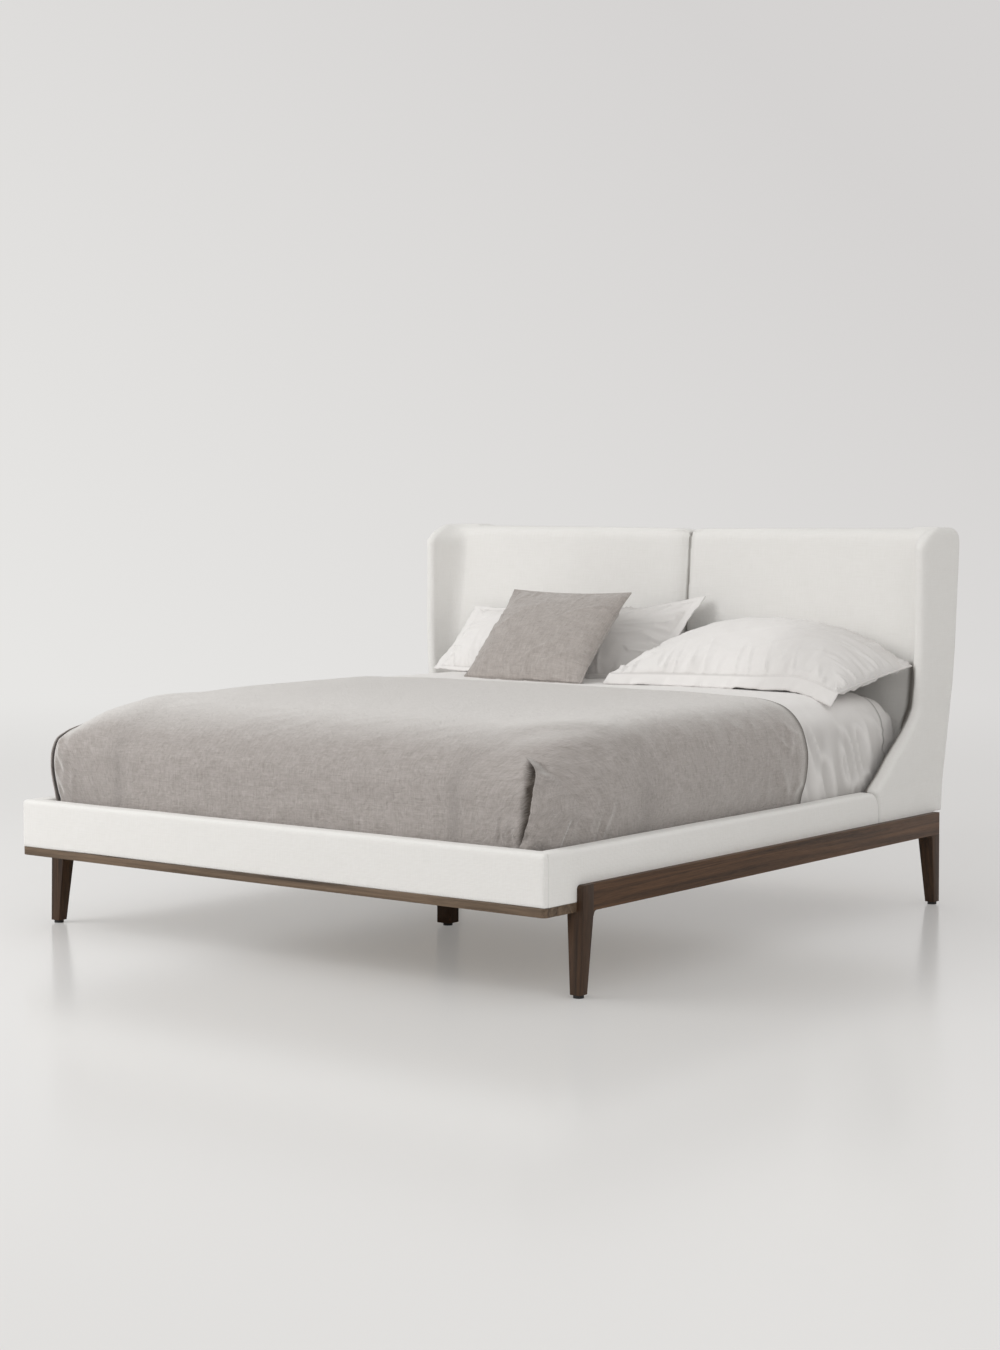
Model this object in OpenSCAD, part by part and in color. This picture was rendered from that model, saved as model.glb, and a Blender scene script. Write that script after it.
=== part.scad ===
// Upholstered bed: oak base with a rabbeted side rail, padded rails, a winged
// headboard in two panels, slats on a centre beam, and a bed made with a tucked
// coverlet, two shams and a throw pillow. Millimetres, +Z up, the foot at -Y.

/* [Mattress] */
// Width of the mattress
mattress_w = 1930; // [1700:10:2000]
// Length of the mattress
mattress_l = 2030; // [1950:10:2100]
// Height of the mattress at its crown
mattress_h = 381; // [340:1:420]
// Plan radius of the mattress corners
mattress_corner_r = 44; // [40:1:60]

/* [Bedding] */
// Thickness of a sheet
sheet_t = 1; // [0.8:0.1:1.2]
// Thickness of the quilted coverlet
coverlet_t = 11; // [8:1:12]
// How far the coverlet stands off the side of the mattress above the rail
coverlet_drape = 20; // [10:1:22]
// Coverlet's upper edge, from the head end of the mattress
coverlet_fold = 641; // [600:1:700]
// Hem of the flat sheet, from the head end of the mattress
sheet_hem = 106; // [100:1:125]
// How far the folded corners of the coverlet stand out
pleat = 20; // [10:1:22]

/* [Pillows] */
// Crown thickness of a sham
sham_crown = 184; // [150:1:190]
// Flat flange round a sham, as a share of the sham
sham_flange = 0.05; // [0.03:0.01:0.07]
// Crown thickness of the throw pillow
throw_crown = 140; // [110:1:150]
// Thickness of a flange or a sewn edge
edge_t = 4; // [3:0.5:5]

/* [Padded rails] */
// Thickness of a padded rail
rail_t = 56; // [52:1:64]
// Height of a padded rail
rail_h = 149; // [140:1:170]
// Space between the mattress and a padded rail at the sides
side_gap = 9; // [8:1:14]
// Space between the mattress and the foot rail
foot_gap = 10; // [10:1:14]
// Radius of the upper edges of a padded rail
rail_edge_r = 12; // [8:1:14]
// Plan radius of the two foot corners
foot_corner_r = 12; // [8:1:16]
// Radius of the rear end of a side rail
rail_end_r = 60; // [40:1:64]
// Thickness of the board inside a padded rail
core_t = 25; // [18:1:25]

/* [Oak base] */
// Underside of the oak above the floor
clearance_h = 238; // [180:1:260]
// Thickness of the oak trim board and of the rail's rabbet floor
trim_t = 26; // [20:1:28]
// Height of the oak side rail
oak_rail_h = 74; // [66:1:80]
// Thickness of the lip that stands outside the padding
oak_lip = 22; // [18:1:26]
// How far the rabbet floor reaches in under the padding
oak_floor = 40; // [36:1:44]
// Front of the front legs, from the foot
leg_setback = 146; // [120:1:170]
// Width of a leg at its top, across the bed
leg_w = 54; // [48:1:58]
// Depth of a leg at its top, along the bed
leg_d = 50; // [44:1:56]
// Side of a leg at its foot
leg_foot = 34; // [32:1:40]
// How far a front leg's foot splays forward
splay_front = 9; // [0:1:14]
// How far a rear leg's foot splays back
splay_rear = 10; // [0:1:14]
// Radius of the cove between a leg and the rail above
leg_cove_r = 14; // [8:1:18]
// Side of a centre leg
centre_leg = 50; // [40:1:60]

/* [Headboard] */
// Height of the padded panels
headboard_top = 1264; // [1150:1:1350]
// Thickness of the headboard at the mattress support
headboard_t = 176; // [160:1:190]
// Space between the mattress and the headboard
head_gap = 11; // [11:1:16]
// Rake of the back, degrees
back_rake = 4; // [3:0.1:4.5]
// Rake of the padded front, degrees
front_rake = 5.5; // [5.3:0.1:6]
// Half the width of the padded panels
panel_w = 943; // [930:1:950]
// How far the panels curve back towards the middle seam
panel_curve = 78; // [40:1:78]
// Drop of the panels' top at the middle seam
panel_drop = 6; // [0:1:8]
// Thickness of the board inside the headboard
board_t = 20; // [16:1:22]
// Height of the headboard's foot block above the cross rail
block_h = 94; // [70:1:110]
// Thickness of the back cover
back_t = 12; // [8:1:16]
// Radius of the roll over the top
roll_r = 45; // [36:1:50]
// Radius of a panel's edge at the middle seam
seam_r = 50; // [40:1:60]
// Depth of the seam valley at the front
seam_d = 38; // [24:1:40]
// How far the padded wings stand out beyond the rails, higher up
wing_flare = 30; // [20:1:36]
// Thickness of a wing at its front roll
wing_t = 42; // [36:1:46]
// How far a wing's front edge stands ahead of the padded panel's foot
wing_reach = 40; // [30:1:50]
// Rise of the wing tops over the panels
wing_rise = 6; // [0:1:8]

/* [Slats] */
// Number of slats
slat_count = 13; // [11:1:15]
// Width of a slat
slat_w = 70; // [60:1:80]
// Thickness of a slat
slat_t = 20; // [16:1:22]
// Top of the slats above the underside of the oak
slat_level = 112; // [108:1:120]
// Width of a slat ledge
ledge_w = 38; // [30:1:40]
// Height of a slat ledge
ledge_h = 45; // [36:1:48]
// Width of the centre beam
beam_w = 45; // [38:1:50]
// Height of the centre beam
beam_h = 70; // [60:1:74]

/* [Hardware] */
// Diameter of a glide's disc
glide_d = 30; // [26:1:32]
// Height of a glide's disc
glide_h = 9; // [7:1:12]
// Thread diameter of the glides and the large bolts
thread_d = 8; // [6:1:10]
// How far a glide screws out
glide_travel = 10; // [6:1:12]
// Thickness of the steel brackets
steel_t = 3; // [2:0.5:3]
// Length of a corner bracket's arm
bracket_arm = 80; // [60:1:90]
// Diameter of a ledge screw
screw_d = 5; // [4:0.5:6]

/* [Hidden] */
$fn = 48;

// Clearances: round a bolt in its hole, round a stem in its sleeve, and between
// soft things that only rest on each other
bolt_clear = 0.25;
stem_clear = 0.1;
rest_gap = 0.5;

// Across the bed
half_w = mattress_w / 2;
rail_in = half_w + side_gap;
rail_out = rail_in + rail_t;
oak_out = rail_out + oak_lip;
floor_in = rail_out - oak_floor;

// Up from the floor
trim_top = clearance_h + trim_t;
oak_top = clearance_h + oak_rail_h;
rail_top = trim_top + rail_h;
slat_top = clearance_h + slat_level;
slat_under = slat_top - slat_t;
bed_top = slat_top + mattress_h;
core_top = rail_top - 15;

// Along the bed, from the foot
mat_foot = rail_t + foot_gap;
mat_head = mat_foot + mattress_l;
panel_foot_z = slat_top;
panel_foot_y = mat_head + head_gap;
back_foot_y = panel_foot_y + headboard_t;
rear_overhang = 69;
wing_top = headboard_top + wing_rise;
// Radius of the panels' and the wings' upper edge at the back
back_r = 26;
wing_back_r = 57;
oak_end = back_at(oak_top) - rear_overhang;
wing_seam_y = panel_foot_y - 276;
overall_l = back_at(headboard_top - back_r);

// Front and back planes of the headboard at a height
function front_at(z) = panel_foot_y + (z - panel_foot_z) * tan(front_rake);
function back_at(z) = back_foot_y + (z - panel_foot_z) * tan(back_rake);

// Straight-line reading of a table of [key, value] pairs
function read(t, k) =
    k <= t[0][0] ? t[0][1] :
    k >= t[len(t) - 1][0] ? t[len(t) - 1][1] :
    let (i = [for (n = [0 : len(t) - 2]) if (k >= t[n][0] && k <= t[n + 1][0]) n][0])
    t[i][1] + (t[i + 1][1] - t[i][1]) * (k - t[i][0]) / (t[i + 1][0] - t[i][0]);

function mix(a, b, s) = a + (b - a) * s;
function ease(s) = s * s * (3 - 2 * s);
function flat(l) = [for (a = l, b = a) b];

// The frame's middle lies over the origin
module placed() {
    translate([0, -overall_l / 2, 0])
        children();
}

// side = 1 for the right hand of the bed, -1 for the left
module on_side(side) {
    placed()
        mirror([side < 0 ? 1 : 0, 0, 0])
            children();
}

// A YZ outline run across the bed from x0 to x1
module across(x0, x1) {
    translate([x0, 0, 0])
        rotate([90, 0, 90])
            linear_extrude(x1 - x0)
                children();
}

// An XZ outline run along the bed from y0 to y1
module along(y0, y1) {
    translate([0, y1, 0])
        rotate([90, 0, 0])
            linear_extrude(y1 - y0)
                children();
}

module block(x0, x1, y0, y1, z0, z1) {
    translate([x0, y0, z0])
        cube([x1 - x0, y1 - y0, z1 - z0]);
}

// A bar's outline with its two upper edges rounded
module bar_outline(x0, x1, z0, z1, r0, r1) {
    difference() {
        polygon([[x0, z0], [x1, z0], [x1, z1], [x0, z1]]);
        if (r0 > 0)
            difference() {
                translate([x0 - 1, z1 - r0])
                    square([r0 + 1, r0 + 1]);
                translate([x0 + r0, z1 - r0])
                    circle(r0);
            }
        if (r1 > 0)
            difference() {
                translate([x1 - r1, z1 - r1])
                    square([r1 + 1, r1 + 1]);
                translate([x1 - r1, z1 - r1])
                    circle(r1);
            }
    }
}

// Legs

bore_top = glide_h + 34;
sleeve_d = thread_d + 4;
sleeve_z0 = glide_h + 3;
sleeve_z1 = glide_h + 28;
leg_x_foot = oak_out - 4 - leg_foot / 2;
front_leg_y0 = leg_setback;
front_leg_y1 = leg_setback + leg_d;
front_glide_y = front_leg_y0 - splay_front + leg_foot / 2;
rear_leg_y1 = oak_end;
rear_leg_y0 = oak_end - leg_d;
rear_glide_y = rear_leg_y1 + splay_rear - leg_foot / 2;

module leg_across() {
    along(-200, oak_end + 200)
        polygon([[leg_x_foot - leg_foot / 2, glide_h], [leg_x_foot + leg_foot / 2, glide_h],
                 [oak_out, clearance_h], [oak_out - leg_w, clearance_h]]);
}

module leg_along(y0, y1, foot_y, cove_side) {
    cove_y = cove_side > 0 ? y1 : y0;
    across(oak_out - leg_w - 20, oak_out + 20)
        union() {
            polygon([[foot_y - leg_foot / 2, glide_h], [foot_y + leg_foot / 2, glide_h],
                     [y1, clearance_h], [y0, clearance_h]]);
            difference() {
                translate([cove_side > 0 ? y1 - 4 : y0 - leg_cove_r, clearance_h - leg_cove_r])
                    square([leg_cove_r + 4, leg_cove_r]);
                translate([cove_y + cove_side * leg_cove_r, clearance_h - leg_cove_r])
                    circle(leg_cove_r);
            }
        }
}

module leg_bore(y) {
    translate([leg_x_foot, y, 0])
        cylinder(d = sleeve_d, h = bore_top);
}

leg_bolt_x = floor_in + 22;
leg_bolt_sink = 7;
leg_bolt_len = 60;

module leg_bolt_hole(y) {
    translate([leg_bolt_x, y, clearance_h - leg_bolt_len])
        cylinder(d = thread_d + 2 * bolt_clear, h = 200);
}

module front_leg(side) {
    color("#46382d")
        on_side(side)
            difference() {
                union() {
                    intersection() {
                        leg_across();
                        leg_along(front_leg_y0, front_leg_y1, front_glide_y, 1);
                    }
                    across(rail_out, oak_out)
                        bar_outline(front_leg_y0, front_leg_y1, clearance_h - 1, oak_top,
                                    rail_edge_r, 0);
                }
                leg_bore(front_glide_y);
                leg_bolt_hole((front_leg_y0 + front_leg_y1) / 2);
            }
}

module rear_leg(side) {
    color("#46382d")
        on_side(side)
            difference() {
                intersection() {
                    leg_across();
                    leg_along(rear_leg_y0, rear_leg_y1, rear_glide_y, -1);
                }
                leg_bore(rear_glide_y);
                leg_bolt_hole((rear_leg_y0 + rear_leg_y1) / 2);
            }
}

module bolt_sink(y) {
    leg_bolt_hole(y);
    translate([leg_bolt_x, y, trim_top - leg_bolt_sink])
        cylinder(d = thread_d * 1.8, h = leg_bolt_sink + 1);
}

// Oak base

module side_rail(side) {
    color("#46382d")
        on_side(side)
            difference() {
                along(front_leg_y1, oak_end)
                    polygon([[floor_in, clearance_h], [oak_out, clearance_h],
                             [oak_out, oak_top], [rail_out, oak_top],
                             [rail_out, trim_top], [floor_in, trim_top]]);
                bolt_sink((rear_leg_y0 + rear_leg_y1) / 2);
            }
}

module foot_trim_board() {
    color("#46382d")
        placed()
            translate([0, 0, clearance_h])
                linear_extrude(trim_t)
                    difference() {
                        polygon([[-rail_out, 0], [rail_out, 0], [rail_out, rail_t],
                                 [-rail_out, rail_t]]);
                        for (s = [-1, 1])
                            plan_corner(s, foot_corner_r + 4);
                    }
}

// What rounding a foot corner in plan takes away
module plan_corner(s, r) {
    difference() {
        translate([s > 0 ? rail_out - r : -rail_out - 1, -1])
            square([r + 1, r + 1]);
        translate([s * (rail_out - r), r])
            circle(r);
    }
}

module corner_trim(side) {
    color("#46382d")
        on_side(side)
            difference() {
                block(rail_in, rail_out, rail_t, front_leg_y1, clearance_h, trim_top);
                bolt_sink((front_leg_y0 + front_leg_y1) / 2);
            }
}

headboard_bolt_x = [panel_w * 0.3, panel_w * 0.85];
headboard_bolt_y = oak_end - 22;
headboard_bolt_up = 70;

module headboard_bolt_holes() {
    for (x = headboard_bolt_x, s = [-1, 1])
        translate([s * x, headboard_bolt_y, clearance_h - 1])
            cylinder(d = thread_d + 2 * bolt_clear, h = oak_rail_h + headboard_bolt_up + 2);
}

module head_cross_rail() {
    color("burlywood")
        placed()
            difference() {
                union() {
                    block(-floor_in, floor_in, rear_leg_y0, oak_end, clearance_h, trim_top);
                    block(-panel_w, panel_w, rear_leg_y0, oak_end, trim_top - 1, oak_top);
                }
                headboard_bolt_holes();
            }
}

// Padded rails

core_out = rail_out - (rail_t - core_t) / 2 + 2;
core_in = core_out - core_t;
foot_core_y0 = rail_out - core_out;
side_core_end = wing_seam_y - 8 - rail_end_r / 4;
screw_ys = [for (n = [0 : 4]) rail_t + 94 + n * (wing_seam_y - rail_t - 194) / 4];
screw_z = slat_under - ledge_h / 2;
screw_len = 68;

module ledge_screw_holes() {
    for (y = screw_ys)
        translate([rail_in - ledge_w - 1, y, screw_z])
            rotate([0, 90, 0])
                cylinder(d = screw_d + 2 * bolt_clear, h = screw_len);
}

// Corner bolts: two through each arm of each bracket, the same for all four arms
bolt_z = rail_top - 36;
bolt_run = steel_t + 32;
arm_bolts = [bracket_arm * 0.3, bracket_arm * 0.75];

// Holes along +X from the side rail's inner face, and along -Y from the foot rail's
module corner_bolt_holes() {
    for (a = arm_bolts) {
        translate([rail_in - steel_t - 1, rail_t + a, bolt_z])
            rotate([0, 90, 0])
                cylinder(d = thread_d + 2 * bolt_clear, h = bolt_run + 1);
        translate([rail_in - a, rail_t + steel_t + 1, bolt_z])
            rotate([90, 0, 0])
                cylinder(d = thread_d + 2 * bolt_clear, h = bolt_run + 1);
    }
}

module side_core(side) {
    color("burlywood")
        on_side(side)
            difference() {
                block(core_in, core_out, rail_t + 6, side_core_end, trim_top, core_top);
                ledge_screw_holes();
                corner_bolt_holes();
            }
}

module foot_core() {
    color("burlywood")
        placed()
            difference() {
                block(-core_out, core_out, foot_core_y0, foot_core_y0 + core_t, trim_top,
                      core_top);
                corner_bolt_holes();
                mirror([1, 0, 0])
                    corner_bolt_holes();
            }
}

module side_cover(side) {
    color("#e9e8e5")
        on_side(side)
            difference() {
                intersection() {
                    along(rail_t, wing_seam_y)
                        bar_outline(rail_in, rail_out, trim_top, rail_top, rail_edge_r,
                                    rail_edge_r);
                    across(rail_in - 5, rail_out + 5)
                        bar_outline(rail_t, wing_seam_y, trim_top, rail_top + 5, 0,
                                    rail_end_r + 5);
                }
                block(core_in, core_out, rail_t + 6, side_core_end, trim_top - 1, core_top);
                ledge_screw_holes();
                corner_bolt_holes();
            }
}

module foot_cover() {
    color("#e9e8e5")
        placed()
            difference() {
                intersection() {
                    union() {
                        across(-rail_out, rail_out)
                            bar_outline(0, rail_t, trim_top, rail_top, 0, rail_edge_r);
                        for (s = [-1, 1])
                            mirror([s < 0 ? 1 : 0, 0, 0])
                                along(0, rail_t)
                                    bar_outline(rail_in, rail_out, trim_top, rail_top,
                                                rail_edge_r, 0);
                    }
                    along(0, rail_t)
                        bar_outline(-rail_out, rail_out, trim_top, rail_top, rail_edge_r,
                                    rail_edge_r);
                    across(-rail_out, rail_out)
                        bar_outline(0, rail_t, trim_top, rail_top, rail_edge_r, 0);
                    translate([0, 0, trim_top])
                        linear_extrude(rail_h)
                            difference() {
                                polygon([[-rail_out, 0], [rail_out, 0],
                                         [rail_out, rail_t], [-rail_out, rail_t]]);
                                for (s = [-1, 1])
                                    plan_corner(s, foot_corner_r);
                            }
                }
                block(-core_out, core_out, foot_core_y0, foot_core_y0 + core_t,
                      trim_top - 1, core_top);
                corner_bolt_holes();
                mirror([1, 0, 0])
                    corner_bolt_holes();
            }
}

// Headboard

pad_foot_z = oak_top + block_h + panel_drop;
seat_z = headboard_top - 32;
block_y = rear_leg_y0 - steel_t;

function core_back(z) = back_at(z) - back_t;
function core_front(z) = core_back(z) - board_t;

module headboard_core() {
    color("burlywood")
        placed()
            difference() {
                across(-panel_w, panel_w)
                    polygon([[block_y, oak_top], [core_back(oak_top), oak_top],
                             [core_back(seat_z), seat_z], [core_front(seat_z), seat_z],
                             [core_front(oak_top + block_h), oak_top + block_h],
                             [block_y, oak_top + block_h]]);
                headboard_bolt_holes();
            }
}

module headboard_back_cover() {
    color("#e9e8e5")
        placed()
            across(-panel_w, panel_w)
                polygon([[core_back(oak_top), oak_top], [back_at(oak_top), oak_top],
                         [back_at(seat_z), seat_z], [core_back(seat_z), seat_z]]);
}

// Front of the roll over the top, and the crest line
roll_z = headboard_top - roll_r;
roll_turn = 90 - front_rake;
roll_y = front_at(roll_z + roll_r * sin(front_rake)) + roll_r * cos(front_rake);

function roll_front(z) =
    z <= roll_z + roll_r * sin(front_rake) ? front_at(z) :
    roll_y - sqrt(max(0, roll_r * roll_r - pow(min(z, headboard_top) - roll_z, 2)));

// A pad's outer line as [y, z, inward y, inward z], from its front foot over the
// top to the back
function pad_line() = concat(
    [for (z = [pad_foot_z, mix(pad_foot_z, roll_z, 0.4), mix(pad_foot_z, roll_z, 0.75)])
        [front_at(z), z, 1, 0]],
    [for (n = [0 : 6])
        let (a = front_rake + n * roll_turn / 6)
        [roll_y - roll_r * cos(a), roll_z + roll_r * sin(a), cos(a), -sin(a) * 0.6]],
    [[mix(roll_y, back_at(headboard_top) - back_r, 0.5), headboard_top, 0, -0.6]],
    [for (n = [0 : 3])
        let (a = n * 90 / 3)
        [back_at(headboard_top - back_r) - back_r + back_r * sin(a),
         headboard_top - back_r + back_r * cos(a), 0, -0.6 * cos(a)]]);

function seam_sink(x) = x >= seam_r ? 0 :
    seam_d * (seam_r - sqrt(seam_r * seam_r - pow(seam_r - x, 2))) / seam_r;

// How far the panel's front has curved back at a distance from the seam
function panel_back(x) = panel_curve * (1 - sin(90 * x / panel_w));

function pad_ring(x) =
    let (d = seam_sink(x), c = panel_back(x))
    concat([for (p = pad_line())
               [x, min(p[0] + c * (p[2] > 0 || p[3] > -0.59 ? 1 : 0.5), back_at(p[1]))
                       + (p[2] > 0 ? d * p[2] : 0),
                p[1] + d * p[3] - panel_drop * c / panel_curve]],
           [[x, back_at(seat_z), seat_z], [x, core_front(seat_z), seat_z],
            [x, core_front(pad_foot_z), pad_foot_z]]);

// The two ends of a loft: the ring as one face, or as rungs between its two sides
function end_faces(n, base, near, rungs) =
    rungs ? flat([for (k = [0 : n / 2 - 2])
        let (a = base + k, b = a + 1, d = base + n - 1 - k, c = d - 1)
        near ? [[a, c, b], [a, d, c]] : [[a, b, c], [a, c, d]]]) :
    [near ? [for (i = [n - 1 : -1 : 0]) base + i] : [for (i = [0 : n - 1]) base + i]];

// A closed solid from rings of equal length; each ring runs clockwise as seen
// from the next one
module loft(rings, rungs = false) {
    n = len(rings[0]);
    polyhedron(points = flat(rings), convexity = 8, faces = concat(
        [for (r = [0 : len(rings) - 2], i = [0 : n - 1])
            [r * n + i, r * n + (i + 1) % n, (r + 1) * n + (i + 1) % n]],
        [for (r = [0 : len(rings) - 2], i = [0 : n - 1])
            [r * n + i, (r + 1) * n + (i + 1) % n, (r + 1) * n + i]],
        end_faces(n, 0, true, rungs),
        end_faces(n, (len(rings) - 1) * n, false, rungs)));
}

module headboard_pad(side) {
    color("#e9e8e5")
        on_side(side)
            loft([for (x = [0, 0.06 * seam_r, 0.16 * seam_r, 0.32 * seam_r, 0.55 * seam_r,
                            seam_r, panel_w / 2, panel_w]) pad_ring(x)]);
}

// Wings: level sections from the root at the panel to the rolled front edge

wing_front_up = [[0, 292], [44, 238], [99, 184], [137, 140], [175, 97], [219, 57],
                 [254, 38], [275, 35], [300, 35]];
wing_front_down = [[0, 123], [5, 100], [14, 72], [27, 43], [42, 20], [57, 5], [70, 0]];
flare_up = [[0, 0], [385, 1]];
splay = 0.543;
tip_r = wing_t / 2;

// Front edge of a wing at a height, from the foot of the bed
function wing_front(z) =
    z < rail_top - 60 ? wing_seam_y + 1 :
    z < rail_top ? mix(wing_seam_y + 1, panel_foot_y - 292, pow((z - rail_top + 60) / 60, 2)) :
    panel_foot_y - max(read(wing_front_up, z - rail_top), 35) - (wing_reach - 35)
        * min(1, (z - rail_top) / 300) + read(wing_front_down, wing_top - z);

function flare(z) = read(flare_up, z - rail_top);
function top_in(z) =
    z <= wing_top - tip_r ? 0 :
    min(tip_r - 4, tip_r - sqrt(max(0, tip_r * tip_r - pow(z - wing_top + tip_r, 2))));
function wing_out(z) = rail_out + wing_flare * flare(z) - top_in(z);
function wing_thick(z) = mix(rail_t, wing_t, flare(z)) - 2 * top_in(z);

// Back of a wing, rounded over at the top with radius r
function wing_back(z, r) = back_at(min(z, headboard_top - back_r)) - (z > wing_top - r ?
    r - sqrt(max(0, r * r - pow(z - wing_top + r, 2))) : 0);

function bend(a, b, c, s) = a * (1 - s) * (1 - s) + b * 2 * s * (1 - s) + c * s * s;

function wing_ring(z) =
    let (xo = wing_out(z),
         t = wing_thick(z),
         r = t / 2,
         yf = wing_front(z),
         yb = z < oak_top ? oak_end : wing_back(z, wing_back_r),
         yp = z < oak_top ? oak_end : wing_back(z, back_r + wing_rise),
         xi = xo - t,
         yr = roll_front(z),
         w = min(1, max(0, (z - rail_top) / 250)),
         kx = mix(rail_in, max(panel_w + 12, xi - splay * (yr - yf - r)), w),
         far = [xi, yf + r],
         knee = [kx, yr],
         root = [panel_w, yr],
         start = knee + (far - knee) * min(0.5, 46 / norm(far - knee)),
         cr = min(mix(20, 34, flare(z)), (yb - yf) / 5))
    concat(
        [[panel_w, yp], [mix(panel_w, xo - cr, 0.5), mix(yp, yb, 0.5)]],
        [for (n = [0 : 3]) let (a = n * 30)
            [xo - cr + cr * sin(a), yb - cr + cr * cos(a)]],
        [[xo, mix(yf + r, yb - cr, 0.5)]],
        [for (n = [0 : 6]) let (a = n * 30)
            [xo - r + r * cos(a), yf + r - r * sin(a)]],
        [mix(far, start, 0.5)],
        [for (n = [0 : 4]) bend(start, knee, root, n / 4)]);

wing_levels = concat(
    [trim_top, oak_top - 0.6, oak_top, rail_top - 60, rail_top - 42, rail_top - 20, rail_top],
    [for (h = [20, 44, 72, 99, 137, 175, 200, 219, 236, 254, 275, 345]) rail_top + h],
    [for (s = [0.25, 0.5, 0.75]) mix(rail_top + 345, wing_top - 70, s)],
    [for (h = [70, 57, 42, back_r + wing_rise, 22, 12, 5, 0]) wing_top - h]);

module wing(side) {
    color("#e9e8e5")
        on_side(side)
            loft([for (z = wing_levels) [for (p = wing_ring(z)) [p[0], p[1], z]]], true);
}

// Slats and what carries them

ledge_end = panel_foot_y - 56;
beam_y0 = rail_t + steel_t;
beam_y1 = rear_leg_y0 - steel_t;
beam_z0 = slat_under - beam_h;
slat_y0 = rail_t + 30;
slat_pitch = (ledge_end - 4 - slat_w - slat_y0) / (slat_count - 1);
slat_half = rail_in - 10;
centre_leg_y = [875, 1600];

module slat_ledge(side) {
    color("burlywood")
        on_side(side)
            difference() {
                block(rail_in - ledge_w, rail_in, rail_t + 4, ledge_end,
                      slat_under - ledge_h, slat_under);
                ledge_screw_holes();
            }
}

module centre_beam() {
    color("burlywood")
        placed()
            block(-beam_w / 2, beam_w / 2, beam_y0, beam_y1, beam_z0, slat_under);
}

module beam_brackets() {
    color("dimgray")
        placed() {
            for (y = [rail_t, rear_leg_y0 - steel_t])
                block(-beam_w, beam_w, y, y + steel_t, beam_z0 - steel_t + 6,
                      min(slat_under - 4, oak_top - 2));
            block(-beam_w / 2, beam_w / 2, rail_t, rail_t + 60, beam_z0 - steel_t, beam_z0);
            block(-beam_w / 2, beam_w / 2, rear_leg_y0 - 60, rear_leg_y0,
                  beam_z0 - steel_t, beam_z0);
            for (y = [rail_t, rear_leg_y0 - steel_t])
                block(-beam_w / 2, beam_w / 2, y, y + steel_t, beam_z0 - 1, beam_z0 + 8);
        }
}

module centre_leg_at(y) {
    color("#46382d")
        placed()
            difference() {
                block(-centre_leg / 2, centre_leg / 2, y - centre_leg / 2, y + centre_leg / 2,
                      glide_h, beam_z0);
                translate([0, y, 0])
                    cylinder(d = sleeve_d, h = bore_top);
            }
}

module slats() {
    color("burlywood")
        placed()
            for (n = [0 : slat_count - 1])
                block(-slat_half, slat_half, slat_y0 + n * slat_pitch,
                      slat_y0 + n * slat_pitch + slat_w, slat_under, slat_top);
}

strap_x = 480;
strap_w = 25;
strap_t = 1.5;

module slat_strap(side) {
    color("gray")
        on_side(side)
            block(strap_x, strap_x + strap_w, slat_y0 + 6, ledge_end - 10,
                  slat_under - strap_t, slat_under);
}

// Hardware

bracket_z0 = slat_top - 10;
bracket_z1 = rail_top - 16;

module corner_brackets() {
    color("silver")
        placed()
            for (s = [0, 1])
                mirror([s, 0, 0])
                    difference() {
                        union() {
                            block(rail_in - steel_t, rail_in, rail_t, rail_t + bracket_arm,
                                  bracket_z0, bracket_z1);
                            block(rail_in - bracket_arm, rail_in, rail_t, rail_t + steel_t,
                                  bracket_z0, bracket_z1);
                        }
                        corner_bolt_holes();
                    }
}

head_t = 2.5;

module corner_bolts() {
    color("black")
        placed()
            for (s = [0, 1])
                mirror([s, 0, 0])
                    for (a = arm_bolts) {
                        translate([rail_in - steel_t - head_t, rail_t + a, bolt_z])
                            rotate([0, 90, 0])
                                small_bolt(head_t + bolt_run);
                        translate([rail_in - a, rail_t + steel_t + head_t, bolt_z])
                            rotate([90, 0, 0])
                                small_bolt(head_t + bolt_run);
                    }
}

module small_bolt(length) {
    cylinder(d = thread_d * 1.8, h = head_t);
    cylinder(d = thread_d, h = length);
}

module leg_bolts() {
    color("black")
        placed()
            for (s = [-1, 1], y = [(front_leg_y0 + front_leg_y1) / 2,
                                   (rear_leg_y0 + rear_leg_y1) / 2])
                translate([s * leg_bolt_x, y, 0]) {
                    translate([0, 0, clearance_h - leg_bolt_len])
                        cylinder(d = thread_d, h = leg_bolt_len + trim_t - leg_bolt_sink + 1);
                    translate([0, 0, trim_top - leg_bolt_sink])
                        cylinder(d = thread_d * 1.8 - 2 * bolt_clear, h = leg_bolt_sink - 1);
                }
}

module ledge_screws() {
    color("black")
        placed()
            for (s = [0, 1], y = screw_ys)
                mirror([s, 0, 0])
                    translate([rail_in - ledge_w, y, screw_z])
                        rotate([0, 90, 0]) {
                            cylinder(d = screw_d, h = screw_len - 2);
                            translate([0, 0, -2])
                                cylinder(d = screw_d * 2, h = 2);
                        }
}

module headboard_bolts() {
    color("black")
        placed()
            for (x = headboard_bolt_x, s = [-1, 1])
                translate([s * x, headboard_bolt_y, clearance_h]) {
                    translate([0, 0, -5])
                        cylinder(d = thread_d * 1.8, h = 5);
                    translate([0, 0, -1])
                        cylinder(d = thread_d, h = oak_rail_h + headboard_bolt_up);
                }
}

corner_spots = [for (s = [-1, 1], y = [front_glide_y, rear_glide_y]) [s * leg_x_foot, y]];
centre_spots = [for (y = centre_leg_y) [0, y]];

module glide_inserts() {
    color("darkgoldenrod")
        placed()
            for (p = concat(corner_spots, centre_spots))
                translate([p[0], p[1], sleeve_z0])
                    difference() {
                        cylinder(d = sleeve_d, h = sleeve_z1 - sleeve_z0);
                        translate([0, 0, -1])
                            cylinder(d = thread_d + 2 * stem_clear,
                                     h = sleeve_z1 - sleeve_z0 + 2);
                    }
}

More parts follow.
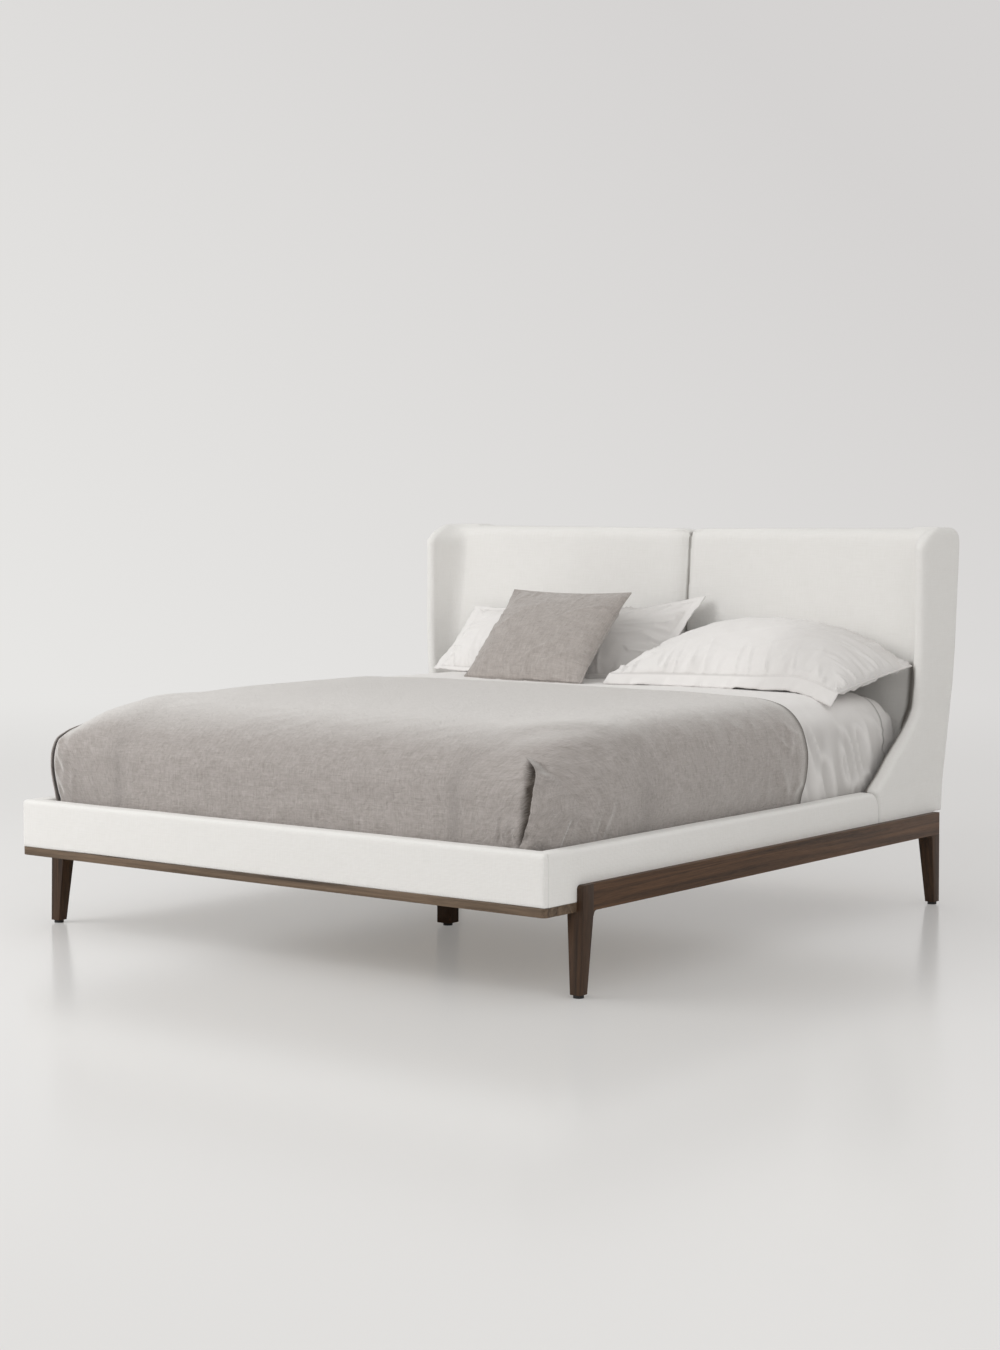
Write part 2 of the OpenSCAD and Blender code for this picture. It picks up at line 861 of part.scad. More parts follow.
module glide_at(x, y) {
    color("darkslategray")
        placed()
            translate([x, y, 0]) {
                cylinder(d = glide_d, h = glide_h);
                cylinder(d = thread_d, h = glide_h + 30);
            }
}

// Bedding: one grid for the mattress and every cover, so that the layers stay
// apart by the same distance in every facet. Ring 0 is the lower edge, ring 6
// the shoulder, and seven cells at each corner turn the rings round it.

ZONE = 7;
NI = 18;
NJ = 21;
zone_x = half_w - 325;
foot_zone_y = mat_foot + 554;
head_zone_y = mat_head - sheet_hem;
fold_y = mat_head - coverlet_fold;
FOLD_J = 11;
HEM_J = 14;

side_in = [23, 14, 12, 12, 28, 65, 125];
foot_in = [14, 16, 17, 16, 48, 122, 250];
head_in = [6, 4, 2, 2, 11, 34, 76];
foot_r = [0, 0, 0, -6, -6, 6, 26];
head_r = [-8, -8, -8, -8, 0, 8, -16];
low_z = [slat_top + 2, rail_top + 12, rail_top + 80];
side_z = concat(low_z, [bed_top - 156, bed_top - 83, bed_top - 37, bed_top - 14]);
foot_z = concat(low_z, [bed_top - 156, bed_top - 111, bed_top - 63, bed_top - 25]);
head_z = concat(low_z, [bed_top - 156, bed_top - 88, bed_top - 44, bed_top - 22]);
side_tilt = [0, 0, 0, 10, 38, 58, 76];
foot_tilt = [0, 0, 0, 14, 45, 62, 80];
head_tilt = [0, 0, 0, 8, 36, 58, 76];
crown_xs = [-1, -0.5, 0, 0.5, 1];
crown_drop = [4, 1, 0, 1, 4];

function station_y(j) =
    j <= 7 ? foot_zone_y :
    j <= FOLD_J ? mix(foot_zone_y, fold_y, (j - 7) / (FOLD_J - 7)) :
    mix(fold_y, head_zone_y, (j - FOLD_J) / (HEM_J - FOLD_J));
function end_drop(j) = j <= 7 ? 6 : j >= HEM_J ? 4 : 0;

// One vertex: [place, outward direction in plan, tilt, 0 at an end to 1 at a side]
function vert(i, j) =
    let (ii = min(i, NI - i),
         sx = i * 2 <= NI ? -1 : 1,
         foot = j * 2 <= NJ,
         jj = foot ? j : NJ - j,
         sy = foot ? -1 : 1,
         m = min(ii, jj))
    ii >= ZONE && jj >= ZONE ?
        [[crown_xs[i - ZONE] * zone_x, station_y(j),
          bed_top - crown_drop[i - ZONE] - end_drop(j)], [0, 0], 90, 0.5] :
    ii >= ZONE ?
        [[crown_xs[i - ZONE] * zone_x, end_y(m, foot), foot ? foot_z[m] : head_z[m]],
         [0, sy], foot ? foot_tilt[m] : head_tilt[m], 0] :
    jj >= ZONE ?
        [[sx * (half_w - side_in[m]), station_y(j), side_z[m] - (m > 3 ? end_drop(j) : 0)],
         [sx, 0], side_tilt[m], 1] :
    corner_vert(m, ii >= jj, max(ii, jj) - m, sx, sy, foot);

function end_y(m, foot) = foot ? mat_foot + foot_in[m] : mat_head - head_in[m];

// k cells from the corner of ring m, towards the end or along the side
function corner_vert(m, on_end, k, sx, sy, foot) =
    let (x1 = half_w - side_in[m],
         y1 = end_y(m, foot),
         r = mattress_corner_r + (foot ? foot_r[m] : head_r[m]),
         zone_y = foot ? foot_zone_y : head_zone_y,
         run = on_end ? x1 - r - zone_x : abs(zone_y - y1) - r,
         arc = r * PI / 4,
         d = (run + arc) * (1 - k / (ZONE - m)),
         a = d <= run ? 0 : (d - run) / r * 180 / PI,
         x = on_end ? (d <= run ? zone_x + d : x1 - r + r * sin(a)) :
             x1 - r + r * cos(a),
         y = on_end ? y1 - sy * (r - r * cos(a)) :
             d <= run ? zone_y + sy * d : y1 - sy * (r - r * sin(a)),
         s = on_end ? 0.5 * d / (run + arc) : 1 - 0.5 * d / (run + arc),
         e = ease(s),
         h = on_end ? [sx * sin(a), sy * cos(a)] : [sx * cos(a), sy * sin(a)],
         ze = foot ? foot_z[m] : head_z[m],
         zs = side_z[m] - (m > 3 ? end_drop(foot ? 7 : HEM_J) : 0))
    [[sx * x, y, mix(ze, zs, e)], h,
     mix(foot ? foot_tilt[m] : head_tilt[m], side_tilt[m], e), e];

function ring_of(i, j) = min(min(i, NI - i), min(j, NJ - j), ZONE);

// The vertex moved outward by d
function outset(v, d) =
    v[0] + d * [v[1][0] * cos(v[2]), v[1][1] * cos(v[2]), sin(v[2])];

function layer(d, jmax) = [for (j = [0 : jmax], i = [0 : NI]) outset(vert(i, j), d)];

// Cells of the grid as triangles; the diagonals lean towards the nearest corner
function cells(jmax, base, out) = flat([for (j = [0 : jmax - 1], i = [0 : NI - 1])
    let (a = base + j * (NI + 1) + i, b = a + 1, c = b + NI + 1, d = a + NI + 1,
         rise = (i * 2 < NI) == (j * 2 < NJ))
    out ? (rise ? [[a, c, b], [a, d, c]] : [[a, d, b], [b, d, c]]) :
          (rise ? [[a, b, c], [a, c, d]] : [[a, b, d], [b, c, d]])]);

// Indices of the grid's rim, once round
function rim(jmax) = concat(
    [for (i = [0 : NI - 1]) i],
    [for (j = [0 : jmax - 1]) j * (NI + 1) + NI],
    [for (i = [NI : -1 : 1]) jmax * (NI + 1) + i],
    [for (j = [jmax : -1 : 1]) j * (NI + 1)]);

module covering(outer, inner, jmax) {
    n = len(outer);
    r = rim(jmax);
    c = len(r);
    polyhedron(points = concat(outer, inner), convexity = 8, faces = concat(
        cells(jmax, 0, true),
        cells(jmax, n, false),
        [for (k = [0 : c - 1]) [r[k], r[(k + 1) % c], n + r[(k + 1) % c]]],
        [for (k = [0 : c - 1]) [r[k], n + r[(k + 1) % c], n + r[k]]]));
}

module mattress() {
    pts = layer(0, NJ);
    r = rim(NJ);
    c = len(r);
    n = len(pts);
    color("#efece6")
        placed()
            polyhedron(points = concat(pts, [for (k = r) [pts[k][0], pts[k][1], slat_top]]),
                       convexity = 8, faces = concat(
                cells(NJ, 0, true),
                [for (k = [0 : c - 1]) [r[k], r[(k + 1) % c], n + (k + 1) % c]],
                [for (k = [0 : c - 1]) [r[k], n + (k + 1) % c, n + k]],
                [[for (k = [0 : c - 1]) n + k]]));
}

fitted_0 = 0.6;
flat_0 = fitted_0 + sheet_t + 0.8;
sheet_top = flat_0 + sheet_t;
coverlet_0 = sheet_top + 0.8;

module fitted_sheet() {
    color("#efeeeb")
        placed()
            covering(layer(fitted_0 + sheet_t, NJ), layer(fitted_0, NJ), NJ);
}

module flat_sheet() {
    color("#efeeeb")
        placed()
            covering(layer(flat_0 + sheet_t, HEM_J), layer(flat_0, HEM_J), HEM_J);
}

// How far the coverlet hangs off the mattress, ring by ring, at the sides, with
// soft waves along them, and the pleats folded at the two foot corners
hang = [0, 0.03, 0.85, 1, 0.55, 0.15, 0, 0];
wave = [0, 0, 0.14, -0.1, 0.06, 0.16, -0.08, 0.04, 0.15, -0.04, 0.08, 0];

function coverlet_off(i, j) =
    let (v = vert(i, j), m = ring_of(i, j), ii = min(i, NI - i))
    coverlet_0 + coverlet_drape * v[3] * hang[m] * (1 + (m < 5 ? wave[j] : 0))
    + (m < 6 && j == m && ii == m + 1 ? pleat * [0.2, 0.5, 0.9, 1, 0.8, 0.4][m] : 0);

function coverlet_pts(t) =
    [for (j = [0 : FOLD_J], i = [0 : NI]) outset(vert(i, j), coverlet_off(i, j) + t)];

module coverlet() {
    color("#b5b0ac")
        placed()
            covering(coverlet_pts(coverlet_t), coverlet_pts(0), FOLD_J);
}

// Pillows: a middle sheet between a front edge and a rear edge, with a crown on
// both sides, flat flanges, and the lower side laid on the bedding

// Top of the made bed across its width, between the shoulders and out over the side
bed_line = concat([for (n = [2 : 4]) [crown_xs[n] * zone_x, bed_top - crown_drop[n]]],
                  [for (m = [6 : -1 : 3]) [half_w - side_in[m], side_z[m]]]);

function seat_at(x) = read(bed_line, abs(x)) + sheet_top / cos(read(
    [[zone_x, 0], [half_w - side_in[6], 22], [half_w - side_in[5], 45],
     [half_w - side_in[4], 66]], abs(x))) + rest_gap;

// A curve through a few named points, read by share of its length
function course(pts, s) =
    let (n = len(pts) - 1, k = min(n - 1, floor(s * n)), f = s * n - k,
         p0 = pts[max(0, k - 1)], p1 = pts[k], p2 = pts[k + 1], p3 = pts[min(n, k + 2)])
    0.5 * (2 * p1 + (p2 - p0) * f + (2 * p0 - 5 * p1 + 4 * p2 - p3) * f * f
        + (3 * p1 - p0 - 3 * p2 + p3) * f * f * f);

function dome(s, p) = pow(max(0, 1 - pow(abs(2 * s - 1), p)), 0.75);

// Shares of the pillow at which its grid runs: the rim, the flange, then even cells
function shares(n, f) = concat([0], [for (k = [0 : n - 2]) mix(f, 1 - f, k / (n - 2))], [1]);

function cross3(a, b) = [a[1] * b[2] - a[2] * b[1], a[2] * b[0] - a[0] * b[2],
                         a[0] * b[1] - a[1] * b[0]];

function middle(front, rear, u, v, draw) =
    let (p = mix(course(front, u), course(rear, u), v))
    p + [draw * (1 - 2 * u) * 4 * v * (1 - v) * abs(1 - 2 * u), 0, 0];

function puff(front, rear, u, v, f, crown, draw) =
    let (e = 0.01,
         p = middle(front, rear, u, v, draw),
         n0 = cross3(middle(front, rear, min(1, u + e), v, draw)
                     - middle(front, rear, max(0, u - e), v, draw),
                     middle(front, rear, u, min(1, v + e), draw)
                     - middle(front, rear, u, max(0, v - e), draw)),
         n = n0 / norm(n0),
         fu = (u - f) / (1 - 2 * f),
         fv = (v - f) / (1 - 2 * f),
         inside = fu > 0 && fu < 1 && fv > 0 && fv < 1,
         h = edge_t / 2 + (inside ? crown / 2 * dome(fu, 2.6) * dome(fv, 2.2) : 0),
         low = p - n * h,
         high = p + n * h,
         z0 = max(low[2], seat_at(low[0])),
         wall = front_at(low[2]) + panel_back(min(panel_w, abs(low[0]) + 60)) - 3)
    [[high[0], min(high[1], wall), max(high[2], z0 + edge_t)],
     [low[0], min(low[1], wall), z0]];

module pillow(front, rear, nu, nv, f, crown, draw) {
    us = shares(nu, f);
    vs = shares(nv, f);
    grid = [for (v = vs, u = us) puff(front, rear, u, v, f, crown, draw)];
    n = (nu + 1) * (nv + 1);
    w = nu + 1;
    r = concat([for (i = [0 : nu - 1]) i], [for (j = [0 : nv - 1]) j * w + nu],
               [for (i = [nu : -1 : 1]) nv * w + i], [for (j = [nv : -1 : 1]) j * w]);
    c = len(r);
    polyhedron(points = concat([for (g = grid) g[0]], [for (g = grid) g[1]]), convexity = 8,
        faces = concat(
            flat([for (j = [0 : nv - 1], i = [0 : nu - 1])
                let (a = j * w + i)
                [[a, a + w, a + w + 1], [a, a + w + 1, a + 1],
                 [n + a, n + a + w + 1, n + a + w], [n + a, n + a + 1, n + a + w + 1]]]),
            [for (k = [0 : c - 1]) [r[k], r[(k + 1) % c], n + r[(k + 1) % c]]],
            [for (k = [0 : c - 1]) [r[k], n + r[(k + 1) % c], n + r[k]]]));
}

// Edge courses, across from the mattress side, along from its head end, and up
// from the made bed; round figures read off the picture
seat_z0 = seat_at(0) + edge_t / 2;

function from_left(p) = [for (q = p) [-half_w + q[0], mat_head + q[1], seat_z0 + q[2]]];
function from_right(p) = [for (q = p) [half_w + q[0], mat_head + q[1], seat_z0 + q[2]]];

right_front = from_right([[-880, -476, -1], [-710, -410, -1], [-540, -381, -1],
                          [-370, -372, -1], [-200, -371, 1], [-32, -396, -28]]);
right_rear = from_right([[-830, 40, 160], [-660, 46, 176], [-490, 46, 180],
                         [-320, 44, 170], [-150, 34, 140], [14, -8, 76]]);
left_front = from_left([[84, -196, -1], [272, -226, -1], [460, -256, -1], [652, -276, -1],
                        [850, -262, -1], [1066, -176, -1]]);
left_rear = from_left([[96, 40, 222], [285, 42, 216], [475, 50, 214], [670, 64, 214],
                       [870, 82, 234], [1078, 100, 268]]);
throw_front = from_left([[436, -462, -1], [620, -486, -1], [800, -500, -1],
                         [986, -516, -1]]);
throw_rear = from_left([[444, -176, 298], [620, -184, 290], [800, -184, 290],
                        [958, -176, 298]]);

module left_sham() {
    color("#eceae8")
        placed()
            pillow(left_front, left_rear, 18, 12, sham_flange, sham_crown, 14);
}

module right_sham() {
    color("#eceae8")
        placed()
            pillow(right_front, right_rear, 18, 12, sham_flange, sham_crown, 14);
}

module throw_pillow() {
    color("#aaa39d")
        placed()
            pillow(throw_front, throw_rear, 14, 12, 0.02, throw_crown, 18);
}

module front_leg_left() { front_leg(-1); }
module front_leg_right() { front_leg(1); }
module rear_leg_left() { rear_leg(-1); }
module rear_leg_right() { rear_leg(1); }
module side_rail_left() { side_rail(-1); }
module side_rail_right() { side_rail(1); }
module corner_trim_left() { corner_trim(-1); }
module corner_trim_right() { corner_trim(1); }
module side_core_left() { side_core(-1); }
module side_core_right() { side_core(1); }
module side_cover_left() { side_cover(-1); }
module side_cover_right() { side_cover(1); }
module headboard_pad_left() { headboard_pad(-1); }
module headboard_pad_right() { headboard_pad(1); }
module wing_left() { wing(-1); }
module wing_right() { wing(1); }
module slat_ledge_left() { slat_ledge(-1); }
module slat_ledge_right() { slat_ledge(1); }
module centre_leg_front() { centre_leg_at(centre_leg_y[0]); }
module centre_leg_rear() { centre_leg_at(centre_leg_y[1]); }
module slat_strap_left() { slat_strap(-1); }
module slat_strap_right() { slat_strap(1); }
module glide_front_left() { glide_at(-leg_x_foot, front_glide_y); }
module glide_front_right() { glide_at(leg_x_foot, front_glide_y); }
module glide_rear_left() { glide_at(-leg_x_foot, rear_glide_y); }
module glide_rear_right() { glide_at(leg_x_foot, rear_glide_y); }
module glide_centre_front() { glide_at(0, centre_leg_y[0]); }
module glide_centre_rear() { glide_at(0, centre_leg_y[1]); }

front_leg_left();
front_leg_right();
rear_leg_left();
rear_leg_right();
side_rail_left();
side_rail_right();
foot_trim_board();
corner_trim_left();
corner_trim_right();
head_cross_rail();
side_core_left();
side_core_right();
foot_core();
side_cover_left();
side_cover_right();
foot_cover();
headboard_core();
headboard_back_cover();
headboard_pad_left();
headboard_pad_right();
wing_left();
wing_right();
slat_ledge_left();
slat_ledge_right();
centre_beam();
beam_brackets();
centre_leg_front();
centre_leg_rear();
slats();
slat_strap_left();
slat_strap_right();
corner_brackets();
corner_bolts();
leg_bolts();
ledge_screws();
headboard_bolts();
glide_inserts();
glide_front_left();
glide_front_right();
glide_rear_left();
glide_rear_right();
glide_centre_front();
glide_centre_rear();
mattress();
fitted_sheet();
flat_sheet();
coverlet();
left_sham();
right_sham();
throw_pillow();
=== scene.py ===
"""Fabric, timber, hardware, light and camera for an upholstered bed made up for the day."""
import logging
import math
from dataclasses import dataclass, field
from enum import Enum
from typing import Callable, Iterable, Sequence

import bmesh
import bpy
import numpy as np
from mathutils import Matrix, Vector


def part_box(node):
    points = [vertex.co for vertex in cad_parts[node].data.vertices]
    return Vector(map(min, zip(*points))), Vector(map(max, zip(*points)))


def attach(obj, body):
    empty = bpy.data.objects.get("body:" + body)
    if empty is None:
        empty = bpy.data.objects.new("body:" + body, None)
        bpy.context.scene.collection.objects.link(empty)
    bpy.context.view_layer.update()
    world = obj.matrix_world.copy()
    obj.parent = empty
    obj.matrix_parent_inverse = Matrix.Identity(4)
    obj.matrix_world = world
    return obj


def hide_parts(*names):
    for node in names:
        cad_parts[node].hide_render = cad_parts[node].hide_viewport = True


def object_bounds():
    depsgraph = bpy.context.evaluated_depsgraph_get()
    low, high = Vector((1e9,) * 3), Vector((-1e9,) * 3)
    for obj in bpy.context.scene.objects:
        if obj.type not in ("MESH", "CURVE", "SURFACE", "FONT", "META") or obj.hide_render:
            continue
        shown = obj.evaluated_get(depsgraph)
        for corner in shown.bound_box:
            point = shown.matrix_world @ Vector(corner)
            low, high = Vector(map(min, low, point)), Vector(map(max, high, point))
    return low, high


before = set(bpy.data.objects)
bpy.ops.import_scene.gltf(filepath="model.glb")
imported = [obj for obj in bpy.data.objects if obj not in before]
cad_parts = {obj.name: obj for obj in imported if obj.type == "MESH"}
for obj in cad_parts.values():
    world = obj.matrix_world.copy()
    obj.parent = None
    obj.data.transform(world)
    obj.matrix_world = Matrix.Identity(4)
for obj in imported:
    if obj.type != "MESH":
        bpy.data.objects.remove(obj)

LOG = logging.getLogger("bed")
Sockets = bpy.types.bpy_prop_collection
MM = 0.001
# The way across the picture, from the left of the bed's foot to the right of its head
ACROSS_X = 0.794
ACROSS_Y = 0.608
CAD_LO, CAD_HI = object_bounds()
FOOT_Y = CAD_LO.y


class Body(Enum):
    """The bodies that a piece can ride on."""

    FRAME = "frame"
    MATTRESS = "mattress"
    LEFT_SHAM = "left_sham"
    RIGHT_SHAM = "right_sham"
    THROW = "throw_pillow"


class Slot(Enum):
    """The record's material slots."""

    OAK = "oak"
    PINE = "pine"
    UPHOLSTERY = "upholstery"
    WEBBING = "webbing"
    BRACKET = "bracket_steel"
    BOLT = "bolt_steel"
    BRASS = "sleeve_brass"
    GLIDE = "glide_plastic"
    TICKING = "mattress_ticking"
    SHEET = "sheet_cotton"
    COVERLET = "coverlet_cotton"
    SHAM = "sham_cotton"
    THROW = "throw_cotton"


class Grain(Enum):
    """The way the grain of a board runs."""

    ACROSS = (1, 0, 0)
    ALONG = (0, 1, 0)
    UP = (0, 0, 1)


class Hand(Enum):
    """The two sides of the bed, as signs of X."""

    LEFT = -1
    RIGHT = 1


# Colour and shader nodes


def linear(code: str) -> tuple[float, float, float, float]:
    """Turn an sRGB hex colour into linear RGBA.

    Args:
        code: Six hex digits after a hash sign.

    Returns:
        The four linear values, alpha one.
    """
    parts = [int(code[n:n + 2], 16) / 255 for n in (1, 3, 5)]
    r, g, b = [c / 12.92 if c <= 0.04045 else ((c + 0.055) / 1.055) ** 2.4 for c in parts]
    return r, g, b, 1.0


def add(tree: bpy.types.NodeTree, kind: str, sockets: dict | None = None,
        stops: Sequence[tuple[float, str]] = (), **settings) -> bpy.types.Node:
    """Add a node, set its properties, and fill or link its sockets.

    Args:
        tree: The node tree that the node goes into.
        kind: Blender's type name of the node.
        sockets: Socket names or numbers, each with a value or another node's output.
        stops: Places and hex colours of a colour ramp.
        **settings: Properties of the node.

    Returns:
        The new node.
    """
    made = tree.nodes.new(kind)
    for key, value in settings.items():
        setattr(made, key, value)
    for key, value in (sockets or {}).items():
        if isinstance(value, bpy.types.NodeSocket):
            tree.links.new(value, made.inputs[key])
        else:
            made.inputs[key].default_value = value
    for stop, (place, code) in enumerate(stops):
        made.color_ramp.elements[stop].position = place
        made.color_ramp.elements[stop].color = linear(code)
    return made


def blank(name: str) -> tuple[bpy.types.Material, bpy.types.NodeTree, bpy.types.Node]:
    """Start a material with one Principled shader.

    Args:
        name: Name of the material.

    Returns:
        The material, its node tree and the shader node.
    """
    made = bpy.data.materials.new(name)
    made.use_nodes = True
    tree = made.node_tree
    return made, tree, tree.nodes["Principled BSDF"]


@dataclass(frozen=True)
class WovenCloth:
    """A woven cloth that reads its threads from the piece's weave map, in metres.

    Its tone runs from dark to light; thread_mm, soft_mm and crease_mm are the sizes of its threads,
    its cloudiness and its crinkle, and relief_mm and crease the depths of threads and crinkle in
    millimetres. At a low angle its colour pales towards a lighter tone, a painted sheen; dusk is the
    colour of its painted shade, and the crinkle's hollows hold painted shade.
    """

    name: str
    light: str
    dark: str
    thread_mm: float
    slub: float
    relief_mm: float
    sheen: float
    soft_mm: float = 60.0
    crease: float = 0.0
    cloud: float = 0.2
    painted_sheen: float = 0.0
    crease_mm: float = 45.0
    dusk: str = "#4b4033"
    sheen_paint: str = "#f4f2ef"
    thread_tone: float = 0.12
    crinkle_painted_shade: float = 0.2
    spread: float = 0.3

    def material(self) -> bpy.types.Material:
        """Build the cloth: threads both ways, slubs, and a soft cloudiness from washing.

        Returns:
            The material.
        """
        made, tree, shader = blank(self.name)
        uv = add(tree, "ShaderNodeUVMap", uv_map="weave").outputs["UV"]
        waves = []
        for way in ("X", "Y"):
            # Period in metres is 2 pi / (20 scale); the real thread is about a fifth of this,
            # too fine to show, so the weave is drawn as coarse as the picture shows it
            waves.append(add(tree, "ShaderNodeTexWave", {
                "Vector": uv, "Scale": math.tau / (20 * self.thread_mm * MM), "Distortion": 1.6,
                "Detail": 2.0, "Detail Scale": 0.35}, wave_type="BANDS", bands_direction=way,
                wave_profile="SIN").outputs["Fac"])
        weave = add(tree, "ShaderNodeMath", {0: waves[0], 1: waves[1]}, operation="ADD").outputs[0]
        # Slubs are thicker threads, 3 mm wide, 70 mm long one way and 50 mm the other
        streaks = []
        for long, short in ((14.0, 340.0), (300.0, 20.0)):
            moved = add(tree, "ShaderNodeVectorMath", {0: uv, 1: (long, short, 1.0)},
                        operation="MULTIPLY").outputs[0]
            streaks.append(add(tree, "ShaderNodeTexNoise", {
                "Vector": moved, "Scale": 1.0, "Detail": 3.0, "Roughness": 0.6}).outputs["Fac"])
        slubs = add(tree, "ShaderNodeMath", {0: streaks[0], 1: streaks[1]}, operation="ADD").outputs[0]
        cloud = add(tree, "ShaderNodeTexNoise", {
            "Vector": uv, "Scale": 1000 / self.soft_mm, "Detail": 4.0, "Roughness": 0.62}).outputs["Fac"]
        tone = 0.0
        for part, share in ((slubs, self.slub), (cloud, self.cloud), (weave, self.thread_tone)):
            tone = add(tree, "ShaderNodeMath", {0: part, 1: share, 2: tone},
                       operation="MULTIPLY_ADD").outputs[0]
        middle = 0.5 * self.cloud + self.slub + self.thread_tone
        if self.crease:
            rumple = add(tree, "ShaderNodeTexNoise", {
                "Vector": uv, "Scale": 1000 / self.crease_mm, "Detail": 5.0, "Roughness": 0.55,
                "Distortion": 0.4}).outputs["Fac"]
            # Painted shade in the crinkle: its hollows are darker than its crests in the tone too
            hollow = add(tree, "ShaderNodeMapRange", {
                "Value": rumple, "To Min": -self.crinkle_painted_shade, "To Max": self.crinkle_painted_shade}).outputs[0]
            tone = add(tree, "ShaderNodeMath", {0: tone, 1: hollow}, operation="ADD").outputs[0]
        colour = add(tree, "ShaderNodeValToRGB", {"Fac": tone}, stops=(
            (middle - self.spread, self.dark), (middle + self.spread, self.light))).outputs["Color"]
        # Painted sheen: seen at a low angle the colour pales towards a lighter tone, as where light catches
        # the hairs that stand on the cloth
        facing = add(tree, "ShaderNodeLayerWeight", {"Blend": 0.5}).outputs["Facing"]
        sheen_paint = add(tree, "ShaderNodeMapRange", {
            "Value": facing, "From Min": 0.42, "From Max": 0.88, "To Max": self.painted_sheen},
            interpolation_type="SMOOTHSTEP").outputs[0]
        colour = add(tree, "ShaderNodeMix", {0: sheen_paint, 6: colour, 7: linear(self.sheen_paint)},
                     data_type="RGBA").outputs[2]
        # Painted shade: the colour is mixed towards dusk as far as the shade attribute says, where hardly
        # any light arrives
        shade = add(tree, "ShaderNodeAttribute", attribute_name="shade").outputs["Fac"]
        colour = add(tree, "ShaderNodeMix", {0: shade, 6: colour, 7: linear(self.dusk)},
                     data_type="RGBA").outputs[2]
        height = add(tree, "ShaderNodeMath", {0: slubs, 1: 1.6, 2: weave},
                     operation="MULTIPLY_ADD").outputs[0]
        bump = add(tree, "ShaderNodeBump", {
            "Strength": 0.55, "Distance": self.relief_mm * MM, "Height": height}).outputs["Normal"]
        if self.crease:
            bump = add(tree, "ShaderNodeBump", {
                "Strength": 0.8, "Distance": self.crease * MM, "Height": rumple,
                "Normal": bump}).outputs["Normal"]
        tree.links.new(colour, shader.inputs["Base Color"])
        tree.links.new(bump, shader.inputs["Normal"])
        shader.inputs["Roughness"].default_value = 0.92
        shader.inputs["Specular IOR Level"].default_value = 0.18
        shader.inputs["Sheen Weight"].default_value = self.sheen
        shader.inputs["Sheen Roughness"].default_value = 0.35
        return made


@dataclass(frozen=True)
class StainedTimber:
    """A planed board with its grain along one axis, stained and oiled or left bare."""

    name: str
    dark: str
    light: str
    grain: Grain
    pore_mm: float = 2.2
    rough: float = 0.5

    def material(self) -> bpy.types.Material:
        """Build the timber: long growth bands, fine pores along the grain, a satin finish.

        Returns:
            The material.
        """
        made, tree, shader = blank(self.name)
        place = add(tree, "ShaderNodeTexCoord").outputs["Object"]
        # Bands are about 18 mm wide and run 900 mm; pores are pore_mm wide and run 60 mm
        bands = tuple(1.1 if a else 55.0 for a in self.grain.value)
        pores = tuple(16.0 if a else 1000 / self.pore_mm for a in self.grain.value)
        long = add(tree, "ShaderNodeVectorMath", {0: place, 1: bands}, operation="MULTIPLY").outputs[0]
        fine = add(tree, "ShaderNodeVectorMath", {0: place, 1: pores}, operation="MULTIPLY").outputs[0]
        growth = add(tree, "ShaderNodeTexNoise", {
            "Vector": long, "Scale": 1.0, "Detail": 4.0, "Roughness": 0.55,
            "Distortion": 0.9}).outputs["Fac"]
        pore = add(tree, "ShaderNodeTexNoise", {
            "Vector": fine, "Scale": 1.0, "Detail": 3.0, "Roughness": 0.7}).outputs["Fac"]
        tone = add(tree, "ShaderNodeMath", {0: pore, 1: 0.45, 2: growth},
                   operation="MULTIPLY_ADD").outputs[0]
        colour = add(tree, "ShaderNodeValToRGB", {"Fac": tone},
                     stops=((0.5, self.dark), (0.95, self.light))).outputs["Color"]
        rough = add(tree, "ShaderNodeMapRange", {
            "Value": pore, "To Min": self.rough + 0.12, "To Max": self.rough - 0.08}).outputs[0]
        bump = add(tree, "ShaderNodeBump", {
            "Strength": 0.35, "Distance": 0.4 * MM, "Height": pore}).outputs["Normal"]
        tree.links.new(colour, shader.inputs["Base Color"])
        tree.links.new(rough, shader.inputs["Roughness"])
        tree.links.new(bump, shader.inputs["Normal"])
        shader.inputs["Specular IOR Level"].default_value = 0.35
        return made


@dataclass(frozen=True)
class WorkedMetal:
    """A small part of metal, or moulded where metallic is 0."""

    name: str
    colour: str
    metallic: float
    rough: float

    def material(self) -> bpy.types.Material:
        """Build the finish: its colour, with fine marks of the making in its gloss.

        Returns:
            The material.
        """
        made, tree, shader = blank(self.name)
        place = add(tree, "ShaderNodeTexCoord").outputs["Object"]
        # Marks about 1 mm apart; the real ones are finer and wouldn't show
        mark = add(tree, "ShaderNodeTexNoise", {
            "Vector": place, "Scale": 900.0, "Detail": 3.0}).outputs["Fac"]
        rough = add(tree, "ShaderNodeMapRange", {
            "Value": mark, "To Min": self.rough - 0.08, "To Max": self.rough + 0.1}).outputs[0]
        bump = add(tree, "ShaderNodeBump", {"Strength": 0.2, "Distance": 0.1 * MM, "Height": mark})
        shader.inputs["Base Color"].default_value = linear(self.colour)
        shader.inputs["Metallic"].default_value = self.metallic
        tree.links.new(rough, shader.inputs["Roughness"])
        tree.links.new(bump.outputs["Normal"], shader.inputs["Normal"])
        return made


# Linen-blend basket weave, off-white, tight over foam: an even fine cross grain
UPHOLSTERY = WovenCloth(
    "linen_basket_weave", "#f7f6f4", "#e6e4e0", thread_mm=3.4, slub=0.3, relief_mm=0.5, sheen=0.25,
    soft_mm=90.0, cloud=0.1)
# Stone-washed heavy linen, warm grey: crinkled, slubbed, with a painted sheen at a low angle
COVERLET = WovenCloth(
    "stonewashed_linen", "#cac3c0", "#97908a", thread_mm=3.4, slub=0.45, relief_mm=1.2, sheen=0.25,
    soft_mm=45.0, crease=6.0, cloud=0.3, painted_sheen=0.64, crease_mm=14.0)
